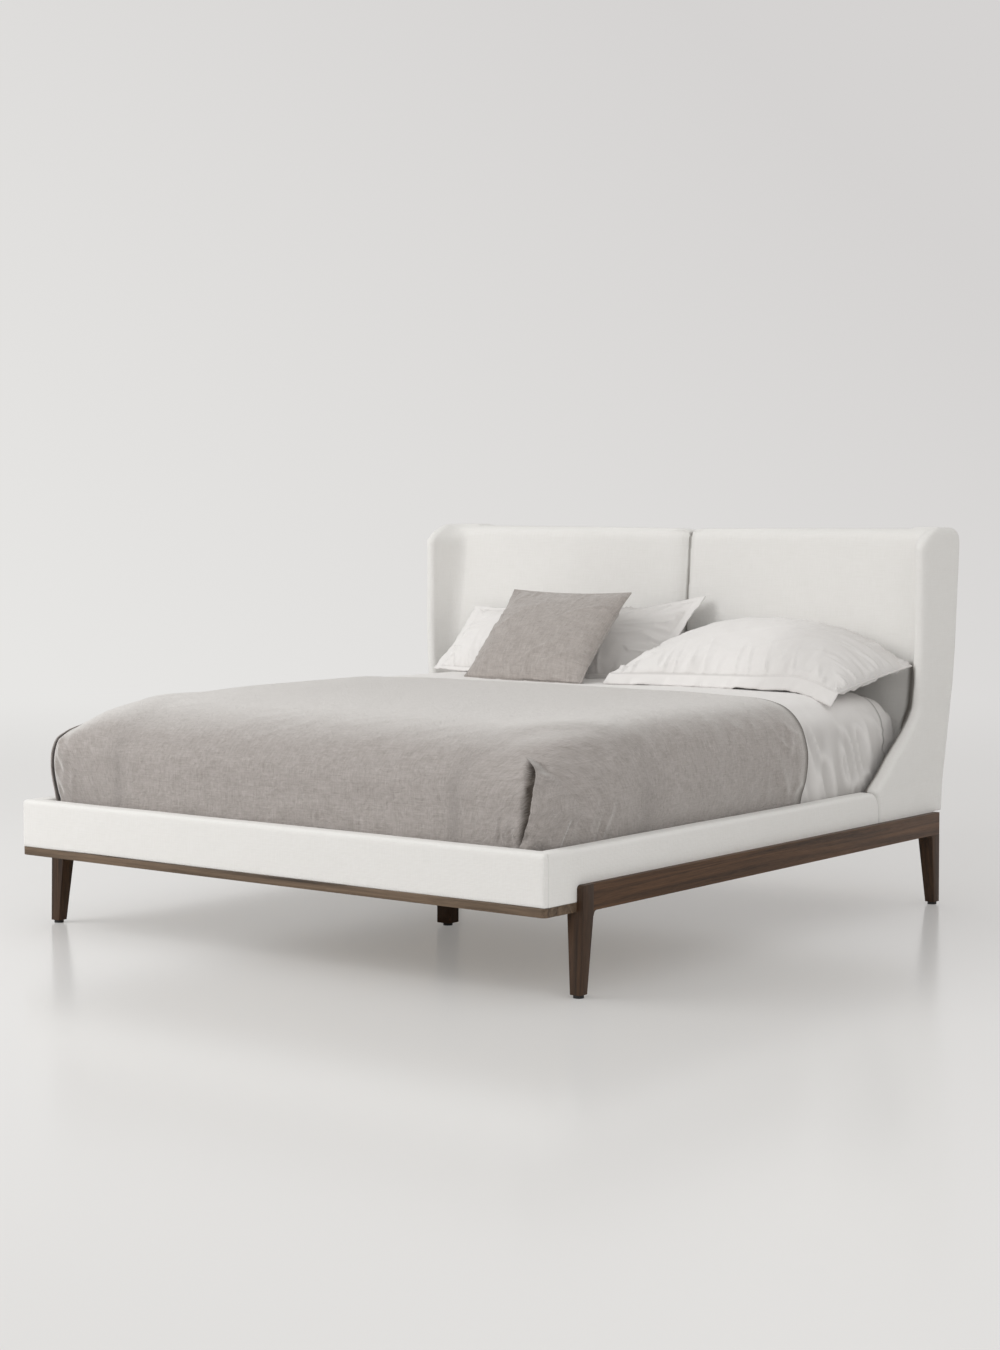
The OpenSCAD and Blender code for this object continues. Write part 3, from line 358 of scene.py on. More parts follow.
# The same linen a shade deeper, for the throw pillow
THROW = WovenCloth(
    "stonewashed_linen_deep", "#cac3be", "#9c948f", thread_mm=3.4, slub=0.45, relief_mm=1.2, sheen=0.4,
    soft_mm=38.0, crease=6.0, cloud=0.3, painted_sheen=0.1, crease_mm=14.0)
# Cotton percale, warm white and fine: hardly any thread shows
PERCALE = WovenCloth(
    "cotton_percale", "#f3f1ef", "#e8e5e3", thread_mm=3.0, slub=0.15, relief_mm=0.2, sheen=0.15,
    soft_mm=120.0, crease=1.8)
# Woven ticking on the mattress, plain and dense: creamy, with hardly any sheen
TICKING = WovenCloth(
    "damask_ticking", "#efece6", "#dcd8d0", thread_mm=3.2, slub=0.2, relief_mm=0.5, sheen=0.05)
# Polyester webbing under the slats, woven flat: a dull dark band with a clear rib
WEBBING = WovenCloth(
    "polyester_webbing", "#3a3a3c", "#232325", thread_mm=3.0, slub=0.3, relief_mm=0.8, sheen=0.1)
# Smoked and oiled oak: dark brown with a lighter open grain; one copy a way of the grain: the legs' tone is
# the deepest, and the trims' is lighter with painted light from the floor
STAINS_AND_PAINTED_LIGHT = {Grain.UP: ("#23170d", "#523a27"), Grain.ALONG: ("#2e1f13", "#674a33"),
          Grain.ACROSS: ("#392d22", "#7d6955")}
OAK = {g: StainedTimber("smoked_oak_" + g.name.lower(), *STAINS_AND_PAINTED_LIGHT[g], g) for g in Grain}
# Planed softwood, unfinished: pale, low gloss
PINE = {g: StainedTimber("planed_pine_" + g.name.lower(), "#b79a72", "#d2bb95", g, pore_mm=3.0, rough=0.68)
        for g in Grain}
# Zinc-plated pressed steel: dull grey, with soft highlights
BRACKET = WorkedMetal("zinc_plated_steel", "#9a9b9c", metallic=1.0, rough=0.42)
# Black-oxide steel screws and bolts: nearly black, with a faint shine
BOLT = WorkedMetal("black_oxide_steel", "#26272a", metallic=0.9, rough=0.4)
# Turned brass sleeves: dull yellow, finely scored
BRASS = WorkedMetal("turned_brass", "#b0904f", metallic=1.0, rough=0.35)
# Moulded nylon discs: black, with a satin skin
NYLON = WorkedMetal("moulded_nylon", "#1d1c1b", metallic=0.0, rough=0.55)


class Finishes:
    """Makes each finish once and hands it out."""

    def __init__(self) -> None:
        """Start with no materials made."""
        self.made: dict[str, bpy.types.Material] = {}

    def get(self, finish: WovenCloth | StainedTimber | WorkedMetal) -> bpy.types.Material:
        """Hand out a finish's material, built the first time it is asked for.

        Args:
            finish: The finish.

        Returns:
            Its material.
        """
        if finish.name not in self.made:
            self.made[finish.name] = finish.material()
        return self.made[finish.name]


FINISH = Finishes()


# Shapes in arrays


def spline(points: np.ndarray, steps: Sequence[int], axis: int) -> np.ndarray:
    """Draw smooth curves through the points along one axis of a grid.

    Args:
        points: A grid of places, rows by columns by three.
        steps: How many pieces each cell is cut into.
        axis: 0 for curves along the columns, 1 for curves along the rows.

    Returns:
        The finer grid, which goes through every given point.
    """
    p = np.moveaxis(points, axis, 0)
    gap = np.maximum(np.linalg.norm(np.diff(p, axis=0), axis=2).mean(axis=1), 1e-6)[:, None, None]
    rise = np.diff(p, axis=0) / gap
    slope = np.empty_like(p)
    slope[1:-1] = (rise[:-1] * gap[1:] + rise[1:] * gap[:-1]) / (gap[1:] + gap[:-1])
    slope[0], slope[-1] = rise[0], rise[-1]
    rows = []
    for k, count in enumerate(steps):
        s = np.linspace(0, 1, count, endpoint=False)[:, None, None]
        rows.append((2 * s ** 3 - 3 * s ** 2 + 1) * p[k] + (s ** 3 - 2 * s ** 2 + s) * gap[k] * slope[k]
                    + (3 * s ** 2 - 2 * s ** 3) * p[k + 1] + (s ** 3 - s ** 2) * gap[k] * slope[k + 1])
    rows.append(p[-1:])
    return np.moveaxis(np.concatenate(rows), 0, axis)


def normals(grid: np.ndarray) -> np.ndarray:
    """Return the unit normal at each place of a grid, up for columns along X and rows along Y."""
    n = np.cross(np.gradient(grid, axis=1), np.gradient(grid, axis=0))
    return n / np.maximum(np.linalg.norm(n, axis=2, keepdims=True), 1e-9)


def lengths(grid: np.ndarray, axis: int) -> np.ndarray:
    """Measure the distance along one axis of a grid, averaged over the other.

    Args:
        grid: A grid of places.
        axis: 0 for along the columns, 1 for along the rows.

    Returns:
        The distances, from the middle.
    """
    step = np.linalg.norm(np.diff(grid, axis=axis), axis=2).mean(axis=1 - axis)
    run = np.concatenate([[0.0], np.cumsum(step)])
    return run - run[-1] / 2


def smooth_step(low: float, high: float, x: np.ndarray) -> np.ndarray:
    """Return values that rise smoothly from 0 at low to 1 at high, or fall where high is below low."""
    s = np.clip((x - low) / (high - low), 0, 1)
    return s * s * (3 - 2 * s)


def near_line(a: np.ndarray, b: np.ndarray, start: Sequence[float], end: Sequence[float],
              wide: float) -> np.ndarray:
    """Return 1 on a line between two places of a plane, falling to 0 beside it.

    Args:
        a: First coordinates.
        b: Second coordinates.
        start: Where the line starts.
        end: Where it ends.
        wide: Distance at which it has fallen to about a third.

    Returns:
        Values from 0 to 1.
    """
    da, db = end[0] - start[0], end[1] - start[1]
    s = np.clip(((a - start[0]) * da + (b - start[1]) * db) / (da * da + db * db), 0, 1)
    off = (a - start[0] - s * da) ** 2 + (b - start[1] - s * db) ** 2
    return np.exp(-off / wide ** 2) * (0.5 + 0.5 * np.sin(np.pi * np.clip(s, 0.05, 0.95)))


class Noise:
    """Smooth noise on a square lattice, the same on every run."""

    cells = 128

    def __init__(self, seed: int) -> None:
        """Draw the lattice's values.

        Args:
            seed: Seed of the generator.
        """
        self.grid = np.random.default_rng(seed).uniform(-1, 1, (self.cells, self.cells))

    def at(self, x: np.ndarray, y: np.ndarray) -> np.ndarray:
        """Read the noise.

        Args:
            x: First coordinates, one lattice cell to the unit.
            y: Second coordinates.

        Returns:
            Values from -1 to 1.
        """
        i, j = np.floor(x).astype(int), np.floor(y).astype(int)
        fx, fy = x - i, y - j
        fx, fy = fx * fx * (3 - 2 * fx), fy * fy * (3 - 2 * fy)
        g, n = self.grid, self.cells
        a = g[i % n, j % n] * (1 - fx) + g[(i + 1) % n, j % n] * fx
        b = g[i % n, (j + 1) % n] * (1 - fx) + g[(i + 1) % n, (j + 1) % n] * fx
        return a * (1 - fy) + b * fy

    def ridges(self, x: np.ndarray, y: np.ndarray) -> np.ndarray:
        """Return sharp-topped folds from 0 to 1 where the noise crosses zero."""
        return np.clip(1 - 2.6 * np.abs(self.at(x, y)), 0, 1) ** 2


# Meshes


def shade(obj: bpy.types.Object, values: np.ndarray) -> None:
    """Write how deep each vertex lies in painted shade, from 0 to 1.

    Args:
        obj: The piece.
        values: One value a vertex, in order; the vertices after them get 0.
    """
    all_of = np.zeros(len(obj.data.vertices), np.float32)
    all_of[:values.size] = values.ravel()
    layer = obj.data.attributes.new("shade", "FLOAT", "POINT")
    layer.data.foreach_set("value", all_of)


def to_frame(points: np.ndarray) -> np.ndarray:
    """Turn millimetres from the foot face into metres in the frame."""
    return points.reshape(-1, 3) * MM + np.array([0.0, FOOT_Y, 0.0])


def grid_faces(rows: int, cols: int, base: int = 0, flip: bool = False) -> list[tuple[int, ...]]:
    """List the quads of a grid.

    Args:
        rows: Number of rows of places.
        cols: Number of places in a row.
        base: Index of the first place.
        flip: Turns the faces the other way.

    Returns:
        One tuple of four indices for each cell.
    """
    j, i = np.meshgrid(np.arange(rows - 1), np.arange(cols - 1), indexing="ij")
    a = (base + j * cols + i).ravel()
    quads = np.stack([a, a + 1, a + cols + 1, a + cols], axis=1)
    return [tuple(q) for q in (quads[:, ::-1] if flip else quads).tolist()]


def rim_of(rows: int, cols: int) -> list[int]:
    """List the places on a grid's rim, once round, against the clock as seen from above.

    Args:
        rows: Number of rows of places.
        cols: Number of places in a row.

    Returns:
        Their indices.
    """
    return (list(range(cols - 1)) + [j * cols + cols - 1 for j in range(rows - 1)]
            + [(rows - 1) * cols + i for i in range(cols - 1, 0, -1)]
            + [j * cols for j in range(rows - 1, 0, -1)])


def shell_faces(rows: int, cols: int) -> list[tuple[int, ...]]:
    """List the quads of a grid, of a second grid behind it, and of the rim that joins the two.

    Args:
        rows: Number of rows of places.
        cols: Number of places in a row.

    Returns:
        One tuple of four indices for each quad.
    """
    rim, count = rim_of(rows, cols), rows * cols
    return (grid_faces(rows, cols) + grid_faces(rows, cols, count, True)
            + [(a, a + count, b + count, b) for a, b in zip(rim, rim[1:] + rim[:1])])


def linked(name: str, data: bpy.types.ID) -> bpy.types.Object:
    """Make an object and put it in the scene.

    Args:
        name: Name of the object.
        data: Its mesh, lamp or camera.

    Returns:
        The object, at the origin.
    """
    obj = bpy.data.objects.new(name, data)
    bpy.context.scene.collection.objects.link(obj)
    return obj


def mesh_of(form: bmesh.types.BMesh, name: str) -> bpy.types.Mesh:
    """Turn a form into a mesh and free it.

    Args:
        form: The form, which is used up.
        name: Name of the mesh.

    Returns:
        The mesh.
    """
    mesh = bpy.data.meshes.new(name)
    form.to_mesh(mesh)
    form.free()
    return mesh


def read_all(items: bpy.types.bpy_prop_collection, what: str, wide: int, kind: type) -> np.ndarray:
    """Read one property of all of a mesh's vertices, corners or faces.

    Args:
        items: What is read.
        what: Name of the property.
        wide: How many numbers each of them has.
        kind: Type of the numbers.

    Returns:
        One row each, or one number each where wide is 1.
    """
    out = np.zeros(len(items) * wide, kind)
    items.foreach_get(what, out)
    return out.reshape(-1, wide) if wide > 1 else out


def mesh_piece(name: str, places: np.ndarray, faces: Iterable[Sequence[int]],
               uv: np.ndarray | None = None) -> bpy.types.Object:
    """Make an object from places in metres.

    Args:
        name: Name of the piece.
        places: Vertices, one row each.
        faces: Faces as indices.
        uv: Two coordinates a vertex, in metres, or None for a box map.

    Returns:
        The object, at the origin.
    """
    mesh = bpy.data.meshes.new(name)
    mesh.from_pydata(places.tolist(), [], list(faces))
    mesh.update()
    obj = linked(name, mesh)
    if uv is None:
        box_map(obj)
    else:
        at = read_all(mesh.loops, "vertex_index", 1, np.int32)
        layer = mesh.uv_layers.new(name="weave")
        layer.data.foreach_set("uv", uv[at].astype(np.float32).ravel())
    return obj


def box_map(obj: bpy.types.Object) -> None:
    """Give a mesh a weave map in metres, each face seen along the axis it faces most.

    Args:
        obj: The piece.
    """
    mesh = obj.data
    places = read_all(mesh.vertices, "co", 3, float)
    at = read_all(mesh.loops, "vertex_index", 1, np.int32)
    facing = read_all(mesh.polygons, "normal", 3, float)
    total = read_all(mesh.polygons, "loop_total", 1, np.int32)
    main = np.repeat(np.abs(facing).argmax(axis=1), total)
    p = places[at]
    first = np.where(main == 0, p[:, 1], p[:, 0])
    second = np.where(main == 2, p[:, 1], p[:, 2])
    layer = mesh.uv_layers.get("weave") or mesh.uv_layers.new(name="weave")
    layer.data.foreach_set("uv", np.stack([first, second], axis=1).astype(np.float32).ravel())


def settle(obj: bpy.types.Object) -> bpy.types.Object:
    """Turn a piece with live modifiers into its plain evaluated mesh.

    Args:
        obj: The piece.

    Returns:
        The same object, with no modifiers.
    """
    graph = bpy.context.evaluated_depsgraph_get()
    graph.update()
    mesh = bpy.data.meshes.new_from_object(obj.evaluated_get(graph))
    obj.modifiers.clear()
    old, obj.data = obj.data, mesh
    mesh.name = obj.name
    bpy.data.meshes.remove(old)
    return obj


def finish(obj: bpy.types.Object, look: WovenCloth | StainedTimber | WorkedMetal, body: Body, slot: Slot,
           nodes: Sequence[str] = (), arris: bool = False) -> None:
    """Dress a piece, set it on its body, and hide the CAD nodes that it replaces.

    Args:
        obj: The piece.
        look: Its finish.
        body: The body that it rides on.
        slot: Its material slot in the record; not used.
        nodes: CAD nodes that it replaces.
        arris: Keeps its sharper edges crisp.
    """
    obj.data.materials.clear()
    obj.data.materials.append(FINISH.get(look))
    obj.data.polygons.foreach_set("use_smooth", [True] * len(obj.data.polygons))
    if arris:
        obj.data.set_sharp_from_angle(angle=math.radians(40))
    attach(obj, body.value)
    if nodes:
        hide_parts(*nodes)
    LOG.info("%s: %d faces", obj.name, len(obj.data.polygons))


def merged_copy(node: str, name: str) -> bpy.types.Object:
    """Copy a CAD node's mesh with its loose triangles joined up.

    Args:
        node: The CAD node.
        name: Name of the copy.

    Returns:
        The copy, unparented and undressed.
    """
    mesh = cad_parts[node].data.copy()
    form = bmesh.new()
    form.from_mesh(mesh)
    bmesh.ops.remove_doubles(form, verts=form.verts, dist=0.02 * MM)
    form.to_mesh(mesh)
    form.free()
    mesh.materials.clear()
    return linked(name, mesh)


def join(name: str, parts: Sequence[bpy.types.Object]) -> bpy.types.Object:
    """Join several pieces into one mesh object.

    Args:
        name: Name of the result.
        parts: The pieces, which are used up.

    Returns:
        The joined object.
    """
    form = bmesh.new()
    for part in parts:
        form.from_mesh(part.data)
        mesh = part.data
        bpy.data.objects.remove(part)
        bpy.data.meshes.remove(mesh)
    return linked(name, mesh_of(form, name))


def remeshed(obj: bpy.types.Object, voxel_mm: float, rounds: int) -> bpy.types.Object:
    """Remesh a closed form into even cells and soften it.

    Args:
        obj: The form.
        voxel_mm: Side of a cell.
        rounds: How often it is smoothed.

    Returns:
        The same object with its new mesh.
    """
    cells = obj.modifiers.new("cells", "REMESH")
    cells.mode = "VOXEL"
    cells.voxel_size = voxel_mm * MM
    soft = obj.modifiers.new("soft", "SMOOTH")
    soft.factor = 0.5
    soft.iterations = rounds
    return settle(obj)


def places_of(obj: bpy.types.Object) -> tuple[np.ndarray, np.ndarray]:
    """Read a mesh's vertices and their normals.

    Args:
        obj: The piece.

    Returns:
        The vertices in millimetres from the foot face, and the normals.
    """
    co = read_all(obj.data.vertices, "co", 3, float)
    out = read_all(obj.data.vertex_normals, "vector", 3, np.float32)
    return (co - np.array([0.0, FOOT_Y, 0.0])) / MM, out


def set_places(obj: bpy.types.Object, places: np.ndarray) -> None:
    """Write vertices back, given in millimetres from the foot face."""
    obj.data.vertices.foreach_set("co", to_frame(places).ravel())
    obj.data.update()


def closed_sheet(name: str, outer: np.ndarray, thick: float) -> bpy.types.Object:
    """Make a closed sheet from its outer side.

    Args:
        name: Name of the piece.
        outer: Grid of places in millimetres.
        thick: Thickness in millimetres.

    Returns:
        The object, with a weave map that follows the cloth.
    """
    across, along = lengths(outer, 1) * MM, lengths(outer, 0) * MM
    one = np.stack(np.meshgrid(across, along), axis=2).reshape(-1, 2)
    places = np.concatenate([to_frame(outer), to_frame(outer - normals(outer) * thick)])
    return mesh_piece(name, places, shell_faces(*outer.shape[:2]), np.concatenate([one, one]))


# The mattress form, which every covering follows


@dataclass
class BedForm:
    """The made mattress as a grid of rings that turn round its corners, in millimetres.

    The longer tuples have one value a ring, from the lower edge up: how far it lies in from the
    outside, how its corner's radius differs, how far it lies below the top, and how far its way out
    is tilted up, in degrees. Hang is a ring's share of the drape, and wave how it varies by row.
    """

    # The outside and its corners
    half_w: float = 965.0
    foot: float = 66.0
    head: float = 2096.0
    base: float = 350.0
    top: float = 731.0
    corner_r: float = 44.0
    # Where the corners' cells end, where the flat sheet's hem and the coverlet's head edge lie
    zone_x: float = 640.0
    foot_zone: float = 620.0
    hem: float = 1990.0
    fold: float = 1455.0
    # How far the coverlet hangs clear of the sides
    drape: float = 20.0
    # Cells of a corner, cells across and along, and the rows of the head edge and the hem
    zone: int = 7
    across: int = 18
    along: int = 21
    fold_row: int = 11
    hem_row: int = 14
    # The first ring that lies lower towards the ends, and how much lower
    upper_ring: int = 4
    foot_drop: float = 6.0
    head_drop: float = 4.0
    # Room for the sheets below the coverlet, and the heights between which the sides start to hang
    under: float = 4.2
    shoulder: float = 690.0
    hanging: float = 600.0
    side_in: tuple = (23, 14, 12, 12, 28, 65, 125)
    foot_in: tuple = (14, 16, 17, 16, 48, 122, 250)
    head_in: tuple = (6, 4, 2, 2, 11, 34, 76)
    foot_r: tuple = (0, 0, 0, -6, -6, 6, 26)
    head_r: tuple = (-8, -8, -8, -8, 0, 8, -16)
    side_up: tuple = (-379, -306, -238, -156, -83, -37, -14)
    foot_up: tuple = (-379, -306, -238, -156, -111, -63, -25)
    head_up: tuple = (-379, -306, -238, -156, -88, -44, -22)
    side_tilt: tuple = (0, 0, 0, 10, 38, 58, 76)
    foot_tilt: tuple = (0, 0, 0, 14, 45, 62, 80)
    head_tilt: tuple = (0, 0, 0, 8, 36, 58, 76)
    crown: tuple = (4, 1, 0, 1, 4)
    hang: tuple = (0, 0.03, 0.85, 1, 0.55, 0.15, 0, 0)
    wave: tuple = (0, 0, 0.14, -0.1, 0.06, 0.16, -0.08, 0.04, 0.15, -0.04, 0.08, 0)

    def end_drop(self, row: int) -> float:
        """Return how far the top lies lower towards the ends."""
        return self.foot_drop if row <= self.zone else self.head_drop if row >= self.hem_row else 0.0

    def station(self, row: int) -> float:
        """Find the place along the bed of a row of the top.

        Args:
            row: The row, from the foot.

        Returns:
            The distance from the foot face.
        """
        if row <= self.zone:
            return self.foot_zone
        if row <= self.fold_row:
            run = self.fold - self.foot_zone
            return self.foot_zone + run * (row - self.zone) / (self.fold_row - self.zone)
        return self.fold + (self.hem - self.fold) * (row - self.fold_row) / (self.hem_row - self.fold_row)

    def end_y(self, ring: int, foot: bool) -> float:
        """Return where a ring crosses an end of the bed."""
        return self.foot + self.foot_in[ring] if foot else self.head - self.head_in[ring]

    def vertex(self, i: int, j: int) -> tuple[np.ndarray, np.ndarray, float]:
        """Find one place of the grid.

        Args:
            i: Column, from the left.
            j: Row, from the foot.

        Returns:
            The place, the unit way out of the surface, and 0 at an end to 1 at a side.
        """
        ii, sx = min(i, self.across - i), -1 if i * 2 <= self.across else 1
        foot = j * 2 <= self.along
        jj, sy = (j, -1) if foot else (self.along - j, 1)
        m, zone = min(ii, jj), self.zone
        ups, tilts = (self.foot_up, self.foot_tilt) if foot else (self.head_up, self.head_tilt)
        if ii >= zone and jj >= zone:
            k = i - zone
            x = (k - 2) / 2 * self.zone_x
            return np.array([x, self.station(j), self.top - self.crown[k] - self.end_drop(j)]), \
                np.array([0.0, 0.0, 1.0]), 0.5
        if ii >= zone:
            t = math.radians(tilts[m])
            return np.array([(i - zone - 2) / 2 * self.zone_x, self.end_y(m, foot), self.top + ups[m]]), \
                np.array([0.0, sy * math.cos(t), math.sin(t)]), 0.0
        if jj >= zone:
            t = math.radians(self.side_tilt[m])
            z = self.top + self.side_up[m] - (self.end_drop(j) if m >= self.upper_ring else 0)
            return np.array([sx * (self.half_w - self.side_in[m]), self.station(j), z]), \
                np.array([sx * math.cos(t), 0.0, math.sin(t)]), 1.0
        return self.corner(m, ii >= jj, max(ii, jj) - m, sx, sy, foot)

    def corner(self, m: int, on_end: bool, k: int, sx: int, sy: int,
               foot: bool) -> tuple[np.ndarray, np.ndarray, float]:
        """Find a place in a corner, k cells from the corner of ring m.

        Args:
            m: Ring, 0 at the lower edge.
            on_end: Whether it lies on the end rather than on the side.
            k: Cells from the ring's corner.
            sx: Sign of the side.
            sy: Sign of the end.
            foot: Whether the end is the foot.

        Returns:
            As vertex does.
        """
        ups, tilts = (self.foot_up, self.foot_tilt) if foot else (self.head_up, self.head_tilt)
        x1, y1 = self.half_w - self.side_in[m], self.end_y(m, foot)
        r = self.corner_r + (self.foot_r[m] if foot else self.head_r[m])
        zone_y = self.foot_zone if foot else self.hem
        run = x1 - r - self.zone_x if on_end else abs(zone_y - y1) - r
        arc = r * math.pi / 4
        d = (run + arc) * (1 - k / (self.zone - m))
        a = 0.0 if d <= run else (d - run) / r
        if on_end:
            x = self.zone_x + d if d <= run else x1 - r + r * math.sin(a)
            y, s = y1 - sy * (r - r * math.cos(a)), 0.5 * d / (run + arc)
            out = np.array([sx * math.sin(a), sy * math.cos(a)])
        else:
            x = x1 - r + r * math.cos(a)
            y = zone_y + sy * d if d <= run else y1 - sy * (r - r * math.sin(a))
            s, out = 1 - 0.5 * d / (run + arc), np.array([sx * math.cos(a), sy * math.sin(a)])
        e = s * s * (3 - 2 * s)
        drop = self.end_drop(self.zone if foot else self.hem_row) if m >= self.upper_ring else 0
        high = self.top + self.side_up[m] - drop
        z = (self.top + ups[m]) * (1 - e) + high * e
        t = math.radians(tilts[m] * (1 - e) + self.side_tilt[m] * e)
        way = np.array([out[0] * math.cos(t), out[1] * math.cos(t), math.sin(t)])
        return np.array([sx * x, y, z]), way, e

    def ring(self, i: int, j: int) -> int:
        """Return how many rings a place lies in from the lower edge."""
        return min(i, self.across - i, j, self.along - j, self.zone)

    def layer(self, off: Callable[[int, int, float], float], rows: int, first: int = 0) -> np.ndarray:
        """Lay a covering over the form.

        Args:
            off: How far it stands off at a column, a row and a share of side.
            rows: Its last row.
            first: Its first row.

        Returns:
            The grid of places.
        """
        grid = []
        for j in range(first, rows + 1):
            line = []
            for i in range(self.across + 1):
                place, out, side = self.vertex(i, j)
                line.append(place + out * off(i, j, side))
            grid.append(line)
        return np.array(grid)

    def coverlet_off(self, i: int, j: int, side: float) -> float:
        """Work out how far the inside of the coverlet stands off the mattress.

        Args:
            i: Column, from the left.
            j: Row, from the foot.
            side: 0 at an end to 1 at a side.

        Returns:
            The distance.
        """
        m = self.ring(i, j)
        wave = self.wave[j] if m <= self.upper_ring else 0
        return self.under + self.drape * side * self.hang[m] * (1 + wave)

    def fine_steps(self, side: int, crown: int) -> list[int]:
        """Return the cuts of each cell across the bed."""
        return [side] * self.zone + [crown] * 4 + [side] * self.zone

    def corner_run(self, places: np.ndarray) -> np.ndarray:
        """Measure the distance round the nearer foot corner.

        Args:
            places: Places on a covering.

        Returns:
            The distances, less than 0 on the foot face.
        """
        x, y = np.abs(places[..., 0]), places[..., 1]
        cx, cy = self.half_w - self.corner_r, self.foot + self.corner_r
        arc = self.corner_r * math.pi / 4
        turn = np.arctan2(np.maximum(x - cx, 1e-3), np.maximum(cy - y, 1e-3)) * self.corner_r - arc
        return np.where(x <= cx, -arc - (cx - x), np.where(y >= cy, arc + y - cy, turn))


@dataclass
class Linen:
    """The mattress and the three coverings made up over it. Offsets are from the mattress."""

    form: BedForm = field(default_factory=BedForm)
    fitted: float = 1.6
    flat: float = 3.4
    quilt_face: float = 11.0
    # Thickness of the coverlet and of its corner folds, and how far in from its edge the hem is sewn
    quilt: float = 5.0
    flap: float = 3.5
    sewn_in: float = 20.0
    body: Body = Body.MATTRESS
    # Heights of the flat sheet's folds, and how far its hem droops
    fall_h: float = 4.5
    fine_h: float = 6.5
    rumple_h: float = 2.2
    droop: float = 26.0
    # Heights of the coverlet's waves and folds, and of the hollow and the lip at its foot corners
    wave_h: float = 3.0
    buckle_h: float = 3.0
    head_h: float = 6.5
    level_h: float = 2.0
    slant_h: float = 3.0
    hollow_h: float = 9.0
    lip_h: float = 4.0
    # Fine cells to a coarse one: over the crown, along the top, and along the flat sheet's bare part
    crown_cut: int = 22
    top_cut: int = 16
    shown_cut: int = 14
    # Creases drawn by the tuck: along and up at each end, height and half width
    foot_pulls: tuple = (
        (789, 476, 815, 436, 6, 6), (818, 520, 825, 484, 4, 6), (825, 484, 818, 436, 7, 6),
        (838, 460, 846, 410, 8, 6), (860, 484, 853, 410, 7, 6), (872, 466, 896, 426, 6, 6),
        (760, 560, 772, 470, 3, 9), (700, 540, 716, 440, 3, 10), (-880, 600, -905, 440, 4, 12),
        (-850, 560, -868, 420, 4, 10), (-600, 590, -610, 450, 1, 14), (-300, 600, -300, 440, 1, 14))
    side_pulls: tuple = (
        (195, 478, 165, 405, -6, 6), (183, 482, 152, 405, 6, 9), (212, 470, 186, 405, 4, 9),
        (128, 440, 118, 405, -5, 5), (300, 560, 286, 450, 3, 12), (380, 520, 352, 405, 4, 12),
        (352, 500, 330, 405, -3, 8))
    # Heights up the free edges of the folds, where each lies, and how far it stands proud
    right_edge: tuple = ((400, 415, 505, 573, 600, 621, 636, 648, 660),
                         (747, 753, 778, 786, 792, 795, 788, 775, 758))
    left_edge: tuple = ((400, 500, 585, 620, 655), (956, 962, 961, 956, 946))
    right_stand: tuple = ((400, 415, 505, 573, 605, 628, 645, 658), (6, 8, 13, 16, 15, 10, 3, -2))
    left_stand: tuple = ((400, 450, 573, 605, 628, 645, 658), (13, 14, 12, 10, 6, 1, -2))

    def fine(self, grid: np.ndarray, cut: int = 6) -> np.ndarray:
        """Cut a covering's coarse grid into even cells.

        Args:
            grid: The coarse grid.
            cut: Fine cells to a coarse one in the corners.

        Returns:
            The fine grid.
        """
        f = self.form
        along = [cut if j < f.zone or j >= f.hem_row else self.top_cut if j < f.fold_row
                 else self.shown_cut for j in range(grid.shape[0] - 1)]
        return self.rounded(spline(spline(grid, along, 0), f.fine_steps(cut, self.crown_cut), 1))

    def rounded(self, grid: np.ndarray) -> np.ndarray:
        """Take the ripples of the coarse rings out of the two foot corners.

        Args:
            grid: A covering's fine grid, which is changed.

        Returns:
            The grid, its corners following one smooth curve round and up.
        """
        f = self.form
        cx, cy = f.half_w - f.corner_r, f.foot + f.corner_r
        for hand in Hand:
            dx, dy, z = grid[..., 0] * hand.value - cx, cy - grid[..., 1], grid[..., 2]
            at = (dx > 0) & (dy > 0) & (z < f.shoulder)
            turn, away = np.arctan2(dx[at], dy[at]), np.hypot(dx[at], dy[at])
            # The distance from the corner's axis, smoothed as a cubic in height and in turn
            up = (z[at] - 500) / 150
            basis = np.stack([up ** a * turn ** b for a in range(4) for b in range(4)], axis=1)
            smooth = basis @ np.linalg.lstsq(basis, away, rcond=None)[0]
            keep = smooth_step(0, 0.25, turn) * smooth_step(math.pi / 2, math.pi / 2 - 0.25, turn)
            ratio = 1 + keep * smooth_step(688, 630, z[at]) * (smooth / away - 1)
            grid[at, 0] = hand.value * (cx + dx[at] * ratio)
            grid[at, 1] = cy - dy[at] * ratio
        # The shoulder over each corner is relaxed towards the mean of its neighbours
        off = np.hypot(np.abs(grid[..., 0]) - cx, grid[..., 1] - cy)
        near = np.exp(-(off / 230) ** 4) * smooth_step(600, 660, grid[..., 2])
        near = near[1:-1, 1:-1, None]
        for _ in range(60):
            around = grid[:-2, 1:-1] + grid[2:, 1:-1] + grid[1:-1, :-2] + grid[1:-1, 2:]
            grid[1:-1, 1:-1] += 0.8 * near * (around / 4 - grid[1:-1, 1:-1])
        return grid

    def side_share(self, places: np.ndarray) -> np.ndarray:
        """Return 1 on the hanging sides and ends, and 0 on the top."""
        return smooth_step(self.form.shoulder, self.form.hanging, places[..., 2])

    def mattress(self) -> None:
        """Build the mattress, closed underneath."""
        f = self.form
        outer = self.fine(f.layer(lambda i, j, s: 0.0, f.along))
        rows, cols = outer.shape[:2]
        rim = rim_of(rows, cols)
        places = outer.reshape(-1, 3)
        low = places[rim].copy()
        low[:, 2] = f.base
        count = len(places)
        below = list(range(count, count + len(rim)))
        faces = grid_faces(rows, cols) + [tuple(below[::-1])]
        faces += zip(rim, below, below[1:] + below[:1], rim[1:] + rim[:1])
        obj = mesh_piece("mattress_form", to_frame(np.concatenate([places, low])), faces)
        finish(obj, TICKING, self.body, Slot.TICKING, ["mattress"])

